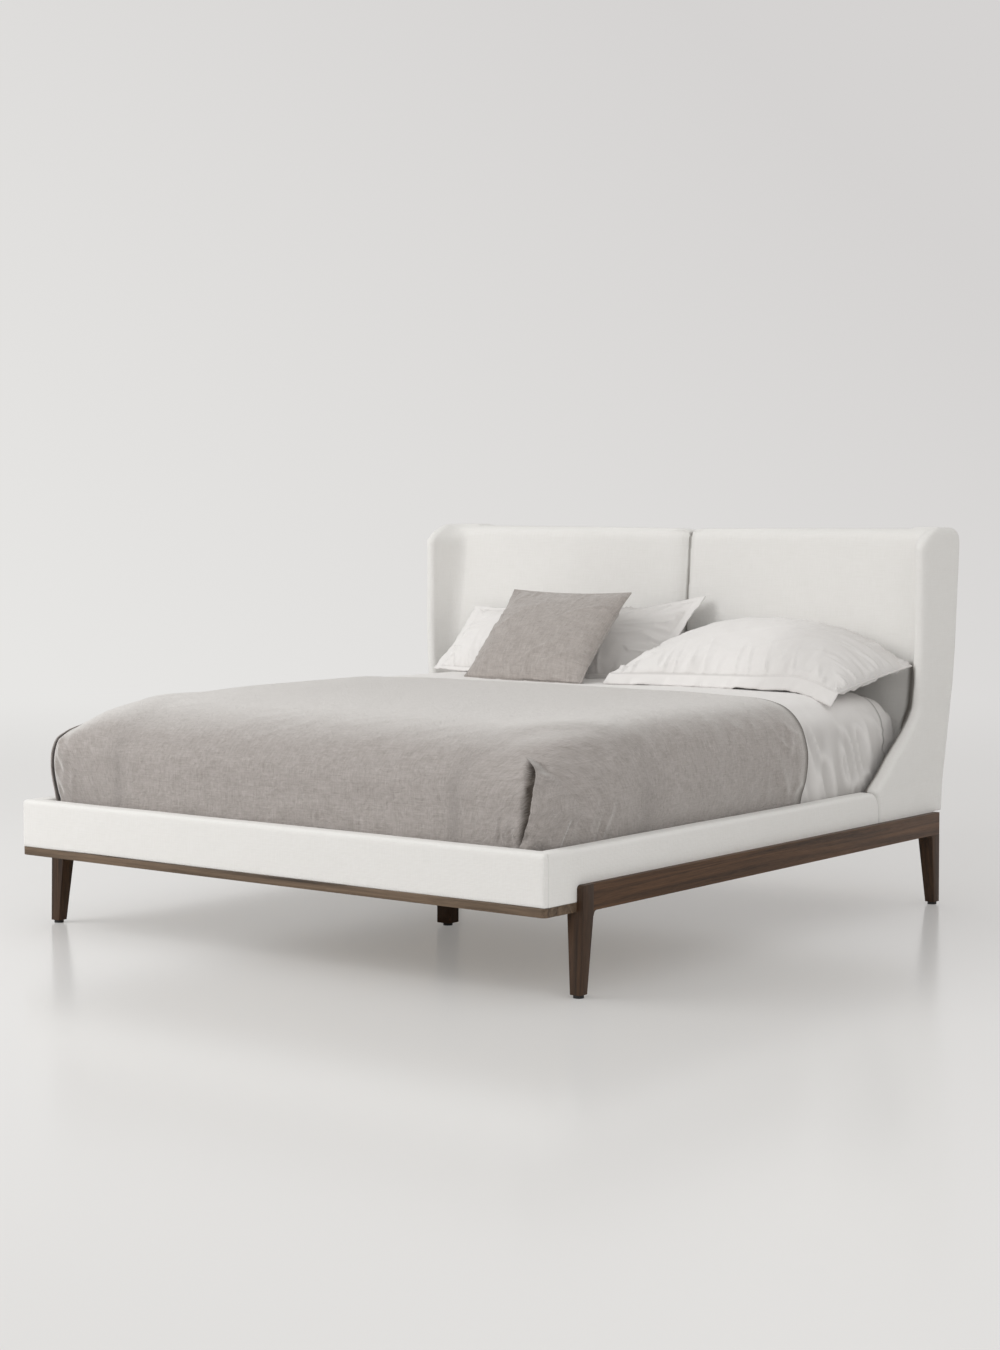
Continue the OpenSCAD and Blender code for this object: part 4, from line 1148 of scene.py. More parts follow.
    def fitted_sheet(self) -> None:
        """Build the fitted sheet, drawn tight, with pull creases near its head corners."""
        f = self.form
        outer = self.fine(f.layer(lambda i, j, s: self.fitted, f.along))
        x, y, z = np.moveaxis(outer, -1, 0)
        pull = Noise(11).ridges((x + z) / 70, (y - z) / 150) * smooth_step(f.hem + 8, f.hem + 40, y)
        outer = outer + normals(outer) * (1.6 * pull)[..., None]
        obj = closed_sheet("fitted_sheet_form", outer, 1.0)
        # Painted shade on its hanging sides towards the head
        shade(obj, 0.16 * self.side_share(outer) * smooth_step(1400, 1900, y))
        finish(obj, PERCALE, self.body, Slot.SHEET, ["fitted_sheet"])

    def flat_sheet(self) -> None:
        """Build the flat sheet, with soft hanging folds below the coverlet's head edge."""
        f = self.form
        outer = self.fine(f.layer(lambda i, j, s: self.flat, f.hem_row))
        x, y, z = np.moveaxis(outer, -1, 0)
        shown = smooth_step(f.fold + 4, f.fold + 50, y)
        fall = Noise(21).at(y / 46 + z / 400, z / 260 + x / 900)
        fine = Noise(22).ridges((y + 0.4 * z) / 42, (z - 0.4 * y) / 190)
        folds = self.side_share(outer) * (self.fall_h * (0.5 + 0.5 * fall) + self.fine_h * fine)
        rumple = (1 - self.side_share(outer)) * self.rumple_h * Noise(23).ridges(
            x / 120 + y / 300, y / 60 - x / 400)
        loose = 3.0 * smooth_step(f.hem - 24, f.hem - 2, y)
        outer = outer + normals(outer) * (shown * (folds + rumple) * smooth_step(
            f.hem, f.hem - 60, y) + loose)[..., None]
        # The hem droops towards the foot where it hangs
        droop = self.droop * smooth_step(640, 500, z) * smooth_step(1880, f.hem, y)
        outer[..., 1] -= droop * Noise(24).at(z / 90, x)
        obj = closed_sheet("flat_sheet_form", outer, 1.2)
        # Painted shade on its hanging sides, deepest in the troughs of its folds, and along its last row
        deep = (folds.max() - folds) / folds.max()
        dim = self.side_share(outer) * (0.06 + 0.3 * shown * deep ** 2)
        dim[-1] = np.maximum(dim[-1], 0.4)
        shade(obj, np.stack([dim, dim]))
        finish(obj, PERCALE, self.body, Slot.SHEET, ["flat_sheet"])

    def short_of_edge(self, hand: Hand, places: np.ndarray) -> np.ndarray:
        """Measure how far places lie short of the free edge of a foot corner's fold.

        The right fold's edge is set where the picture shows it, so it is measured across the
        picture; the left one lies along the corner.

        Args:
            hand: Which corner.
            places: Places on the coverlet.

        Returns:
            The distances.
        """
        x, y, z = np.abs(places[..., 0]), places[..., 1], places[..., 2]
        if hand is Hand.RIGHT:
            return np.interp(z, *self.right_edge) - (ACROSS_X * x + ACROSS_Y * y)
        return np.interp(z, *self.left_edge) - x

    def pocket(self, outer: np.ndarray) -> tuple[np.ndarray, np.ndarray]:
        """Work out the hollow beside the free edge of each foot fold, and the lip beyond it.

        Args:
            outer: The coverlet's smooth face.

        Returns:
            How far in the cloth lies, from 0 to 1, and how far the lip stands out, from 0 to 1.
        """
        inside, lip = np.zeros(outer.shape[:2]), np.zeros(outer.shape[:2])
        for hand in Hand:
            x, y, z = outer[..., 0] * hand.value, outer[..., 1], outer[..., 2]
            past = self.short_of_edge(hand, outer) + (7 if hand is Hand.RIGHT else 0)
            # The hollow's width by height; the left one is hardly open
            wide = np.interp(z, (405, 450, 505, 600, 630, 645), (4, 14, 22, 28, 24, 8))
            wide = wide if hand is Hand.RIGHT else 0.35 * wide
            near = (y < 170) * (x > 700) * smooth_step(398, 440, z) * smooth_step(652, 630, z)
            inside += near * smooth_step(wide + 5, wide - 4, past) * smooth_step(-34, -4, past)
            lip += near * np.exp(-((past - wide - 9) / 12) ** 2)
        return inside, lip

    def creases(self, outer: np.ndarray) -> np.ndarray:
        """Work out how far the coverlet's face stands out of its smooth form.

        Args:
            outer: Its smooth face.

        Returns:
            Distances in millimetres.
        """
        f = self.form
        x, y, z = np.moveaxis(outer, -1, 0)
        side = self.side_share(outer)
        free = smooth_step(418, 470, z)
        run = f.corner_run(outer)
        # Broad waves on the sides, and a faint unevenness on the top
        soft = self.wave_h * side * free * Noise(31).at(y / 130 + x / 260, z / 300)
        top = (1 - side) * (0.9 * Noise(32).at(x / 210, y / 260) + 1.1 * Noise(33).ridges(
            (0.86 * x + 0.5 * y) / 300, (0.86 * y - 0.5 * x) / 70))
        # Buckles round the right foot corner
        near = np.exp(-(run / 150) ** 2) * smooth_step(400, 430, z) * smooth_step(620, 520, z) * (x > 0)
        zigzag = self.buckle_h * near * Noise(34).ridges((run + 0.5 * z) / 58, (z - 0.35 * run) / 46)
        # Fine hanging folds near the head edge, and faint level ones over the foot
        at_fold = smooth_step(f.fold - 420, f.fold - 40, y) * side * free
        fine = self.head_h * at_fold * Noise(35).ridges((y + 0.55 * z) / 52, (z - 0.5 * y) / 150)
        across = self.level_h * side * free * (y < 300) * (np.abs(x) < 900) * Noise(36).ridges(
            x / 170, z / 75 + x / 600)
        # Slanting pulls over the shoulder on the side where the coverlet is drawn down
        slant = self.slant_h * np.exp(-((z - f.shoulder) / 60) ** 2) * smooth_step(500, 900, x)
        slant = slant * Noise(37).ridges((x + 0.7 * y) / 64, (y - x) / 260) * smooth_step(250, 650, y)
        drawn = np.zeros_like(x)
        for pulls, along, where in ((self.foot_pulls, x, y < 150), (self.side_pulls, y, x > 900)):
            for a0, z0, a1, z1, tall, wide in pulls:
                drawn += tall * near_line(along, z, (a0, z0), (a1, z1), wide) * where
        calm = 1 - np.exp(-(run / 300) ** 2) * np.where(x < 0, 0.9, 0.7)
        return calm * (soft + top + across) + zigzag + fine + slant + drawn

    def coverlet(self) -> None:
        """Build the coverlet with its tucked sides, its head edge and its two folded foot corners."""
        f, cut = self.form, 11
        outer = f.layer(lambda i, j, s: f.coverlet_off(i, j, s) + self.quilt_face, f.fold_row)
        outer = self.fine(outer, cut)
        out = normals(outer)
        to_edge = (f.fold - outer[..., 1])[..., None]
        inside, lip = self.pocket(outer)
        # Its hem holds the creases down and is sewn a little way in from the head edge
        sewn = np.exp(-((to_edge - self.sewn_in) / 4) ** 2)
        held = 0.25 + 0.75 * smooth_step(0, 70, to_edge)
        whole = outer + out * (self.creases(outer)[..., None] * held - 1.4 * sewn)
        # The head edge comes down onto the sheet, cut off square like a folded hem
        whole = whole - out * (4.0 * smooth_step(70, 6, to_edge) + 1.5 * smooth_step(4, 0, to_edge) ** 2)
        hollow = (self.lip_h * lip - self.hollow_h * inside)[..., None]
        body = closed_sheet("coverlet_body", whole + out * hollow, self.quilt)
        # Painted shade in the hollows beside the foot folds and along the sewn line of the hem
        dim = np.maximum(0.8 * inside, 0.22 * sewn[..., 0])
        # Painted shade: the cut edge itself is painted in full shade
        dim[-1] = 1.0
        dim[-2] = 0.5
        shade(body, np.stack([dim, dim]))
        flaps = [self.corner_flap(Hand.RIGHT, whole, cut), self.corner_flap(Hand.LEFT, whole, cut)]
        obj = join("coverlet_form", [body, *flaps])
        finish(obj, COVERLET, self.body, Slot.COVERLET, ["coverlet"])

    def corner_flap(self, hand: Hand, outer: np.ndarray, cut: int) -> bpy.types.Object:
        """Build the fold that wraps round a foot corner, its free edge standing proud.

        Args:
            hand: Which corner.
            outer: The coverlet's fine face.
            cut: Its fine cells to a cell of the form.

        Returns:
            The flap.
        """
        rings = np.linspace(0.1, 4.7, 110)
        share = np.linspace(0, 1, 64) ** 1.4
        least, most, reach = 0.08, 1.8, 2.2
        out = normals(outer)
        face, out = (outer, out) if hand is Hand.LEFT else (outer[:, ::-1], out[:, ::-1])

        def read(a: np.ndarray, cells: np.ndarray, ring: np.ndarray) -> np.ndarray:
            """Read a grid by ring and by cells round the corner.

            Args:
                a: The grid.
                cells: Cells from the corner, less than 0 on the foot face.
                ring: Rings up from the lower edge.

            Returns:
                Its values there.
            """
            i = np.where(cells < 0, ring - cells, ring) * cut
            j = np.where(cells < 0, ring, ring + cells) * cut
            i0, j0 = np.floor(i).astype(int), np.floor(j).astype(int)
            fi, fj = (i - i0)[..., None], (j - j0)[..., None]
            return ((a[j0, i0] * (1 - fi) + a[j0, i0 + 1] * fi) * (1 - fj)
                    + (a[j0 + 1, i0] * (1 - fi) + a[j0 + 1, i0 + 1] * fi) * fj)

        def stand(z: np.ndarray) -> np.ndarray:
            """Return how far the free edge stands proud at a height."""
            return np.interp(z, *(self.right_stand if hand is Hand.RIGHT else self.left_stand))

        # Find the cell in every ring where the free edge lies
        tries, ring = np.meshgrid(np.linspace(most, least, 120), rings)
        found = read(face, -tries, ring)
        found = found + read(out, -tries, ring) * stand(found[..., 2])[..., None]
        short = self.short_of_edge(hand, found)
        edge = np.array([tries[k, np.argmax(short[k] < 0)] if (short[k] < 0).any() else least
                         for k in range(len(rings))])
        edge = np.convolve(np.pad(edge, 4, mode="edge"), np.ones(9) / 9, mode="valid")
        cells = -edge[:, None] + (edge[:, None] + reach) * share[None, :]
        ring = np.broadcast_to(rings[:, None], cells.shape)
        base, away = read(face, cells, ring), read(out, cells, ring)
        # The flap is about 110 mm wide, and the turned hem at its edge adds a little
        hem = 2.2 * np.exp(-(110 * share / 4.5) ** 2)
        # Low down the fold leans away over the whole flap; near its top only by the edge
        width = np.interp(base[..., 2], (500, 570, 615, 650), (0.9, 0.5, 0.2, 0.1))
        lean = 1 - smooth_step(0.0, 1.0, share[None, :] / width) + 0.1 * hem[None, :]
        proud = (stand(base[..., 2]) + 2) * lean - 2.0
        patch = base + away * proud[..., None]
        if hand is Hand.LEFT:
            patch = patch[:, ::-1]
        flap = closed_sheet("flap_" + hand.name.lower(), patch, self.flap)
        # Painted shade over the top of the flap
        dim = 0.35 * smooth_step(600, 632, patch[..., 2])
        shade(flap, np.stack([dim, dim]))
        return flap

    def build(self) -> None:
        """Build the mattress and its coverings."""
        self.mattress()
        self.fitted_sheet()
        self.flat_sheet()
        self.coverlet()


# Geometry node trees


def open_tree(name: str, inputs: dict[str, str]) -> tuple[bpy.types.GeometryNodeTree, Sockets]:
    """Start a geometry node tree.

    Args:
        name: Name of the tree.
        inputs: The kind of each of its named inputs.

    Returns:
        The tree, and what its inputs give.
    """
    made = bpy.data.node_groups.new(name, "GeometryNodeTree")
    for title, kind in inputs.items():
        made.interface.new_socket(title, in_out="INPUT", socket_type="NodeSocket" + kind)
    made.interface.new_socket("Geometry", in_out="OUTPUT", socket_type="NodeSocketGeometry")
    return made, add(made, "NodeGroupInput").outputs


def chance_turn(tree: bpy.types.NodeTree, reach: bpy.types.NodeSocket, seed: bpy.types.NodeSocket,
                axis: str) -> bpy.types.NodeSocket:
    """Turn each copy by chance about one axis.

    Args:
        tree: Where the nodes go.
        reach: The largest turn either way.
        seed: Seed of the chance.
        axis: The axis.

    Returns:
        The turn.
    """
    less = add(tree, "ShaderNodeMath", {0: reach, 1: -1.0}, operation="MULTIPLY").outputs[0]
    turn = add(tree, "FunctionNodeRandomValue", {2: less, 3: reach, "Seed": seed}, data_type="FLOAT")
    return add(tree, "ShaderNodeCombineXYZ", {axis: turn.outputs[1]}).outputs[0]


def close_tree(tree: bpy.types.NodeTree, spots: bpy.types.NodeSocket, one: bpy.types.NodeSocket,
               turn: bpy.types.NodeSocket, look: bpy.types.NodeSocket) -> None:
    """Set a copy on every spot, make the copies real and give them their finish.

    Args:
        tree: Where the nodes go.
        spots: The places.
        one: What is copied.
        turn: The turn of each copy.
        look: The finish.
    """
    copies = add(tree, "GeometryNodeInstanceOnPoints", {
        "Points": spots, "Instance": one, "Rotation": turn}).outputs["Instances"]
    real = add(tree, "GeometryNodeRealizeInstances", {"Geometry": copies}).outputs["Geometry"]
    dressed = add(tree, "GeometryNodeSetMaterial", {"Geometry": real, "Material": look}).outputs["Geometry"]
    add(tree, "NodeGroupOutput", {"Geometry": dressed})


def run_tree(obj: bpy.types.Object, tree: bpy.types.GeometryNodeTree, values: dict) -> None:
    """Run a geometry node tree on a piece and keep the plain mesh that comes out.

    Args:
        obj: The piece.
        tree: The tree.
        values: What goes into its named inputs.
    """
    made = obj.modifiers.new(tree.name, "NODES")
    made.node_group = tree
    for item in tree.interface.items_tree:
        if item.in_out == "INPUT" and item.name in values:
            made[item.identifier] = values[item.name]
    settle(obj)
    box_map(obj)


@dataclass
class StitchTree:
    """A geometry node tree that sews a running stitch along a line."""

    spacing: float = 5.5
    length: float = 3.6
    radius: float = 0.45
    sway: float = 0.08
    seed: int = 5

    def tree(self) -> bpy.types.GeometryNodeTree:
        """Build the tree with its named inputs.

        Returns:
            The tree.
        """
        made, given = open_tree("stitches", {
            "Geometry": "Geometry", "Spacing": "Float", "Length": "Float", "Radius": "Float",
            "Sway": "Float", "Seed": "Int", "Finish": "Material"})
        line = add(made, "GeometryNodeMeshToCurve", {"Mesh": given["Geometry"]}).outputs["Curve"]
        spots = add(made, "GeometryNodeCurveToPoints", {
            "Curve": line, "Length": given["Spacing"]}, mode="LENGTH").outputs
        half = add(made, "ShaderNodeMath", {0: given["Length"], 1: 0.5}, operation="MULTIPLY").outputs[0]
        less = add(made, "ShaderNodeMath", {0: half, 1: -1.0}, operation="MULTIPLY").outputs[0]
        start = add(made, "ShaderNodeCombineXYZ", {"Z": less}).outputs[0]
        end = add(made, "ShaderNodeCombineXYZ", {"Z": half}).outputs[0]
        one = add(made, "GeometryNodeCurvePrimitiveLine", {"Start": start, "End": end}).outputs["Curve"]
        round_it = add(made, "GeometryNodeCurvePrimitiveCircle", {
            "Resolution": 6, "Radius": given["Radius"]}).outputs["Curve"]
        thread = add(made, "GeometryNodeCurveToMesh", {
            "Curve": one, "Profile Curve": round_it, "Fill Caps": True}).outputs["Mesh"]
        lean = chance_turn(made, given["Sway"], given["Seed"], "X")
        turned = add(made, "FunctionNodeRotateRotation", {
            "Rotation": spots["Rotation"], "Rotate By": lean}, rotation_space="LOCAL").outputs[0]
        close_tree(made, spots["Points"], thread, turned, given["Finish"])
        return made

    def sew(self, name: str, runs: Sequence[np.ndarray], look: WovenCloth) -> bpy.types.Object:
        """Sew along several lines.

        Args:
            name: Name of the stitches.
            runs: Lines of places in millimetres.
            look: Finish of the thread.

        Returns:
            The stitches as one plain mesh.
        """
        mesh = bpy.data.meshes.new(name)
        edges, start = [], 0
        for run in runs:
            edges += [(start + k, start + k + 1) for k in range(len(run) - 1)]
            start += len(run)
        mesh.from_pydata(to_frame(np.concatenate(runs)).tolist(), edges, [])
        obj = linked(name, mesh)
        run_tree(obj, self.tree(), {
            "Spacing": self.spacing * MM, "Length": self.length * MM, "Radius": self.radius * MM,
            "Sway": self.sway, "Seed": self.seed, "Finish": FINISH.get(look)})
        return obj


STITCHES = StitchTree()


# Pillows


def course(points: Sequence[Sequence[float]], share: np.ndarray) -> np.ndarray:
    """Read a smooth curve through a few points by share of its length.

    Args:
        points: The points.
        share: Values from 0 to 1.

    Returns:
        One place for each share.
    """
    p = np.array(points, float)
    n = len(p) - 1
    k = np.minimum(n - 1, np.floor(share * n).astype(int))
    f = (share * n - k)[..., None]
    a, b, c, d = p[np.maximum(0, k - 1)], p[k], p[k + 1], p[np.minimum(n, k + 2)]
    return 0.5 * (2 * b + (c - a) * f + (2 * a - 5 * b + 4 * c - d) * f * f
                  + (3 * b - a - 3 * c + d) * f ** 3)


def dome(share: np.ndarray, power: float) -> np.ndarray:
    """Return the height of a stuffed section, 1 in its middle and 0 at its seams."""
    return np.maximum(0, 1 - np.abs(2 * share - 1) ** power) ** 0.75


@dataclass
class Pillow:
    """A stuffed pillow between a front edge and a rear edge, laid on the made bed.

    Front and rear are the courses of those edges from the origin. Flanges are shares of the pillow
    at its left, right, front and rear, and edge is their thickness. Lift is how the front flange
    rises to its seam, at the left and the right end. Crown is how thick the pillow is, and draw how
    far its ends curve in; wave and gather are the heights of the flanges' waves and the gathers.
    """

    name: str
    node: str
    body: Body
    look: WovenCloth
    slot: Slot
    front: tuple
    rear: tuple
    origin: tuple[float, float, float]
    flanges: tuple[float, float, float, float]
    lift: tuple
    crown: float
    draw: float
    seed: int
    edge: float = 4.0
    wave: float = 4.0
    gather: float = 15.0
    shadow: Callable[[np.ndarray, np.ndarray], np.ndarray] | None = None
    cells: tuple[int, int] = (190, 130)
    rim: int = 7
    least_flange: float = 0.03

    def lines(self, count: int, first: float, last: float) -> np.ndarray:
        """Place the grid's lines: even over the flanges, closer together by the seams.

        Args:
            count: How many cells they make.
            first: The flange's share at the start.
            last: The flange's share at the end.

        Returns:
            The lines, as shares from 0 to 1.
        """
        inner = np.linspace(0, 1, count + 1 - 2 * self.rim)
        inner = 0.35 * (0.5 - 0.5 * np.cos(math.pi * inner)) + 0.65 * inner
        return np.concatenate([
            np.linspace(0, first, self.rim + 1)[:-1], first + (1 - first - last) * inner,
            1 - np.linspace(0, last, self.rim + 1)[:-1][::-1]])

    def seat(self, x: np.ndarray) -> np.ndarray:
        """Find the height of the made bed's top.

        Args:
            x: Distances from the bed's middle.

        Returns:
            The heights.
        """
        f = BedForm()
        rings = (6, 5, 4, 3)
        across = [0, f.zone_x / 2, f.zone_x] + [f.half_w - f.side_in[m] for m in rings]
        up = [0, -1, -4] + [f.side_up[m] for m in rings]
        lean = np.radians(np.interp(np.abs(x), across[2:6], (0, 22, 45, 66)))
        return f.top + np.interp(np.abs(x), across, up) + Linen.flat / np.cos(lean) + 0.5

    def middle(self, u: np.ndarray, v: np.ndarray) -> np.ndarray:
        """Work out the sheet halfway through the pillow, its front flange standing steeper.

        Args:
            u: Shares across.
            v: Shares from the front edge to the rear one.

        Returns:
            Its places.
        """
        base, f = np.array(self.origin), self.flanges[2]
        front, rear = course(self.front, u) + base, course(self.rear, u) + base
        lift = np.array(self.lift[0]) * (1 - u)[..., None] + np.array(self.lift[1]) * u[..., None]
        up = np.minimum(v / f, 1)[..., None]
        back = np.clip((v - f) / (1 - f), 0, 1)[..., None]
        mid = (front + lift * up) * (1 - back) + rear * back
        mid[..., 0] += self.draw * (1 - 2 * u) * 4 * v * (1 - v) * np.abs(1 - 2 * u)
        return mid

    def creases(self, across: np.ndarray, along: np.ndarray, round_it: np.ndarray, seam: np.ndarray,
                side: int) -> np.ndarray:
        """Work out the creases of one face: gathers at the seam, and long soft pulls.

        Args:
            across: Distance across, in millimetres.
            along: Distance from front to rear.
            round_it: Distance round the seam.
            seam: Distance in from the seam.
            side: 0 for the upper face, 1 for the lower.

        Returns:
            Heights in millimetres.
        """
        n = self.seed + side
        near = Noise(n).ridges(round_it / 34 + seam / 160, seam / 210 + round_it / 500)
        near = near + 0.5 * Noise(n + 4).at(round_it / 17, seam / 120)
        tight = np.exp(-seam / 70) * (0.35 + 0.65 * (1 - np.exp(-seam / 8)))
        broad = 3.0 * Noise(n + 8).at(across / 140 + along / 300, along / 150)
        pulls = 5.5 * Noise(n + 10).ridges((across + 0.6 * along) / 190, (along - 0.5 * across) / 70)
        return self.gather * near * tight + (broad + pulls * np.exp(-seam / 240)) * (1 - np.exp(-seam / 30))

    def build(self) -> None:
        """Build the pillow: a crowned cushion with gathers at its seam, inside its flanges."""
        fl, fr, ff, fb = self.flanges
        u, v = np.meshgrid(self.lines(self.cells[0], fl, fr), self.lines(self.cells[1], ff, fb))
        mid = self.middle(u, v)
        out = normals(mid)
        fu, fv = np.clip((u - fl) / (1 - fl - fr), 0, 1), np.clip((v - ff) / (1 - ff - fb), 0, 1)
        wide, deep = np.ptp(lengths(mid, 1)), np.ptp(lengths(mid, 0))
        seam = np.minimum(np.minimum(fu, 1 - fu) * wide, np.minimum(fv, 1 - fv) * deep)
        sideways = np.minimum(fu, 1 - fu) * wide < np.minimum(fv, 1 - fv) * deep
        round_it = np.where(sideways, v * deep + 3000 * (u > 0.5), u * wide + 7000 * (v > 0.5))
        beyond = np.zeros_like(u)
        for share, past in ((fl, fl - u), (fr, u - 1 + fr), (ff, ff - v), (fb, v - 1 + fb)):
            if share > self.least_flange:
                beyond = np.maximum(beyond, np.clip(past / share, 0, 1))
        puff = self.crown / 2 * dome(fu, 2.6) * dome(fv, 2.2)
        across, along = u * wide, v * deep
        faces_up = [puff + (puff > 0) * self.creases(across, along, round_it, seam, n) for n in (0, 1)]
        curl = self.wave * Noise(self.seed + 2).at(round_it / 70, seam * 0)
        curl = curl + 0.6 * self.wave * Noise(self.seed + 3).at(round_it / 24, seam * 0)
        mid = mid + out * (curl * beyond ** 1.3)[..., None]
        high = mid + out * (self.edge / 2 + faces_up[0])[..., None]
        low = mid - out * (self.edge / 2 + faces_up[1])[..., None]
        low[..., 2] = np.maximum(low[..., 2], self.seat(low[..., 0]))
        high[..., 2] = np.maximum(high[..., 2], low[..., 2] + self.edge)
        for side in (low, high):
            side[..., 1] = np.minimum(side[..., 1], HEADBOARD.front(side[..., 0], side[..., 2]) - 3)
        uv = np.stack([across, along], axis=2).reshape(-1, 2) * MM
        places = to_frame(np.concatenate([high.reshape(-1, 3), low.reshape(-1, 3)]))
        obj = mesh_piece(self.name, places, shell_faces(*u.shape), np.concatenate([uv, uv]))
        # Painted shadow where the shadow field gives it, and painted shade along the front flange's seam
        dim = self.shadow(u, v) if self.shadow else np.zeros_like(u)
        sewn = np.zeros_like(u)
        if ff > self.least_flange:
            sewn[self.rim, self.rim:-self.rim] = 0.2
        shade(obj, np.maximum(dim, sewn))
        finish(obj, self.look, self.body, self.slot, [self.node])
        self.stitch(high, out)

    def stitch(self, high: np.ndarray, out: np.ndarray) -> None:
        """Sew the visible seams of the flanges.

        Args:
            high: The upper face.
            out: Its normals.
        """
        face, n = high + out * 0.5, self.rim
        seams = (face[n:-n, n], face[n:-n, -n - 1], face[n, n:-n], face[-n - 1, n:-n])
        runs = [seams[k] for k in (2, 3, 0, 1) if self.flanges[k] > self.least_flange]
        if runs:
            thread = STITCHES.sew(self.name.replace("form", "stitches"), runs, self.look)
            finish(thread, self.look, self.body, self.slot)


# Upholstery


@dataclass
class Headboard:
    """The padded headboard: two panels that flow into the wings, and a plain back."""

    foot_y: float = 2107.0
    foot_z: float = 350.0
    rake: float = 5.5
    panel_w: float = 943.0
    curve: float = 78.0
    voxel: float = 6.0
    root_in: float = 12.0
    back_y: float = 2290.0
    swell: float = 0.8
    # Where the pocket's painted shade ends upwards, and where it starts sideways
    pocket_top: tuple[float, float] = (822.0, 798.0)
    pocket_in: tuple[float, float] = (640.0, 840.0)
    pocket_y: float = 2090.0

    def front(self, x: np.ndarray, z: np.ndarray) -> np.ndarray:
        """Return where the panels' front stands at a place across and up."""
        shape = self.curve * (1 - np.sin(np.pi / 2 * np.minimum(1, (np.abs(x) + 60) / self.panel_w)))
        return self.foot_y + (z - self.foot_z) * math.tan(math.radians(self.rake)) + shape

    def side(self, hand: Hand) -> None:
        """Build one panel with its wing as one upholstered form.

        Args:
            hand: Which side.
        """
        word = hand.name.lower()
        pad = merged_copy("headboard_pad_" + word, "pad_copy")
        wing = merged_copy("wing_" + word, "wing_copy")
        places, _ = places_of(wing)
        root = np.abs(np.abs(places[:, 0]) - self.panel_w) < 0.5
        places[root, 0] -= hand.value * self.root_in
        set_places(wing, places)
        obj = remeshed(join("headboard_" + word, [pad, wing]), self.voxel, 5)
        cushioned(obj, ["headboard_pad_" + word, "wing_" + word], self.swell, 51 + hand.value)
        places, out = places_of(obj)
        # Painted shade: the pocket behind the right sham, between the mattress and the wing, is painted in
        # deep shade
        inner = smooth_step(0.1, 0.5, -hand.value * out[:, 0])
        x, z = hand.value * places[:, 0], places[:, 2]
        low = smooth_step(*self.pocket_top, z + 0.12 * (self.pocket_y - places[:, 1]))
        pocket = 0.8 * inner * smooth_step(*self.pocket_in, x) * low * (hand is Hand.RIGHT)
        # Painted shade along the sewn line where the two panels meet, deep between their rolled edges
        shade(obj, np.maximum(pocket, 0.5 * smooth_step(9, 3, x)))

    def build(self) -> None:
        """Build both sides and the back cover."""
        self.side(Hand.LEFT)
        self.side(Hand.RIGHT)
        back = remeshed(merged_copy("headboard_back_cover", "headboard_back"), self.voxel + 0.5, 3)
        # Its sewn edge lies over the wings' edges
        places, _ = places_of(back)
        places[:, 0] *= 1.004
        places[:, 1] += 1.5 * (places[:, 1] > self.back_y)
        set_places(back, places)
        cushioned(back, ["headboard_back_cover"], 0.5, 57)


HEADBOARD = Headboard()


def cushioned(obj: bpy.types.Object, nodes: Sequence[str], swell: float, seed: int) -> None:
    """Give an upholstered form the slight unevenness of cloth pulled over foam, and dress it.

    Args:
        obj: The form.
        nodes: The CAD nodes that it stands for.
        swell: Height of the unevenness in millimetres.
        seed: Seed of its noise.
    """
    places, out = places_of(obj)
    x, y, z = places.T
    soft = Noise(seed).at(x / 230 + y / 310, z / 210 + y / 270)
    set_places(obj, places + out * (swell * soft)[:, None])
    box_map(obj)
    finish(obj, UPHOLSTERY, Body.FRAME, Slot.UPHOLSTERY, nodes)


@dataclass
class Rails:
    """The padded covers of the foot and side rails, with a sewn seam at each foot corner."""

    voxel: float = 5.0
    thick: float = 56.0
    inner: float = 974.0
    seam_y: float = 13.0
    turn_y: float = 200.0
    head_y: float = 1700.0

    def build(self) -> None:
        """Build the three covers."""
        for name in ("foot_cover", "side_cover_left", "side_cover_right"):
            obj = remeshed(merged_copy(name, name + "_form"), self.voxel, 3)
            self.mitre(obj, name == "foot_cover")
            places, out = places_of(obj)
            # Painted shade on a side cover's rear end, where it turns into its joint with the wing
            shade(obj, 0.45 * smooth_step(0.3, 0.85, out[:, 1]) * (places[:, 1] > self.head_y))
            cushioned(obj, [name], 0.7, 61 + len(name))

    def mitre(self, obj: bpy.types.Object, foot: bool) -> None:
        """Bring the joint at the foot corners out to a seam just round the corner.

        Args:
            obj: A cover.
            foot: Whether it is the foot rail's.
        """
        places, _ = places_of(obj)
        out = np.clip((np.abs(places[:, 0]) - self.inner) / self.thick, 0, 1)
        plane = self.thick - (self.thick - self.seam_y) * out
        y = places[:, 1]
        if foot:
            places[:, 1] = np.minimum(y, plane)
        else:
            places[:, 1] = y - (self.thick - plane) * smooth_step(self.turn_y, self.thick, y)
        set_places(obj, places)


# Timber and hardware


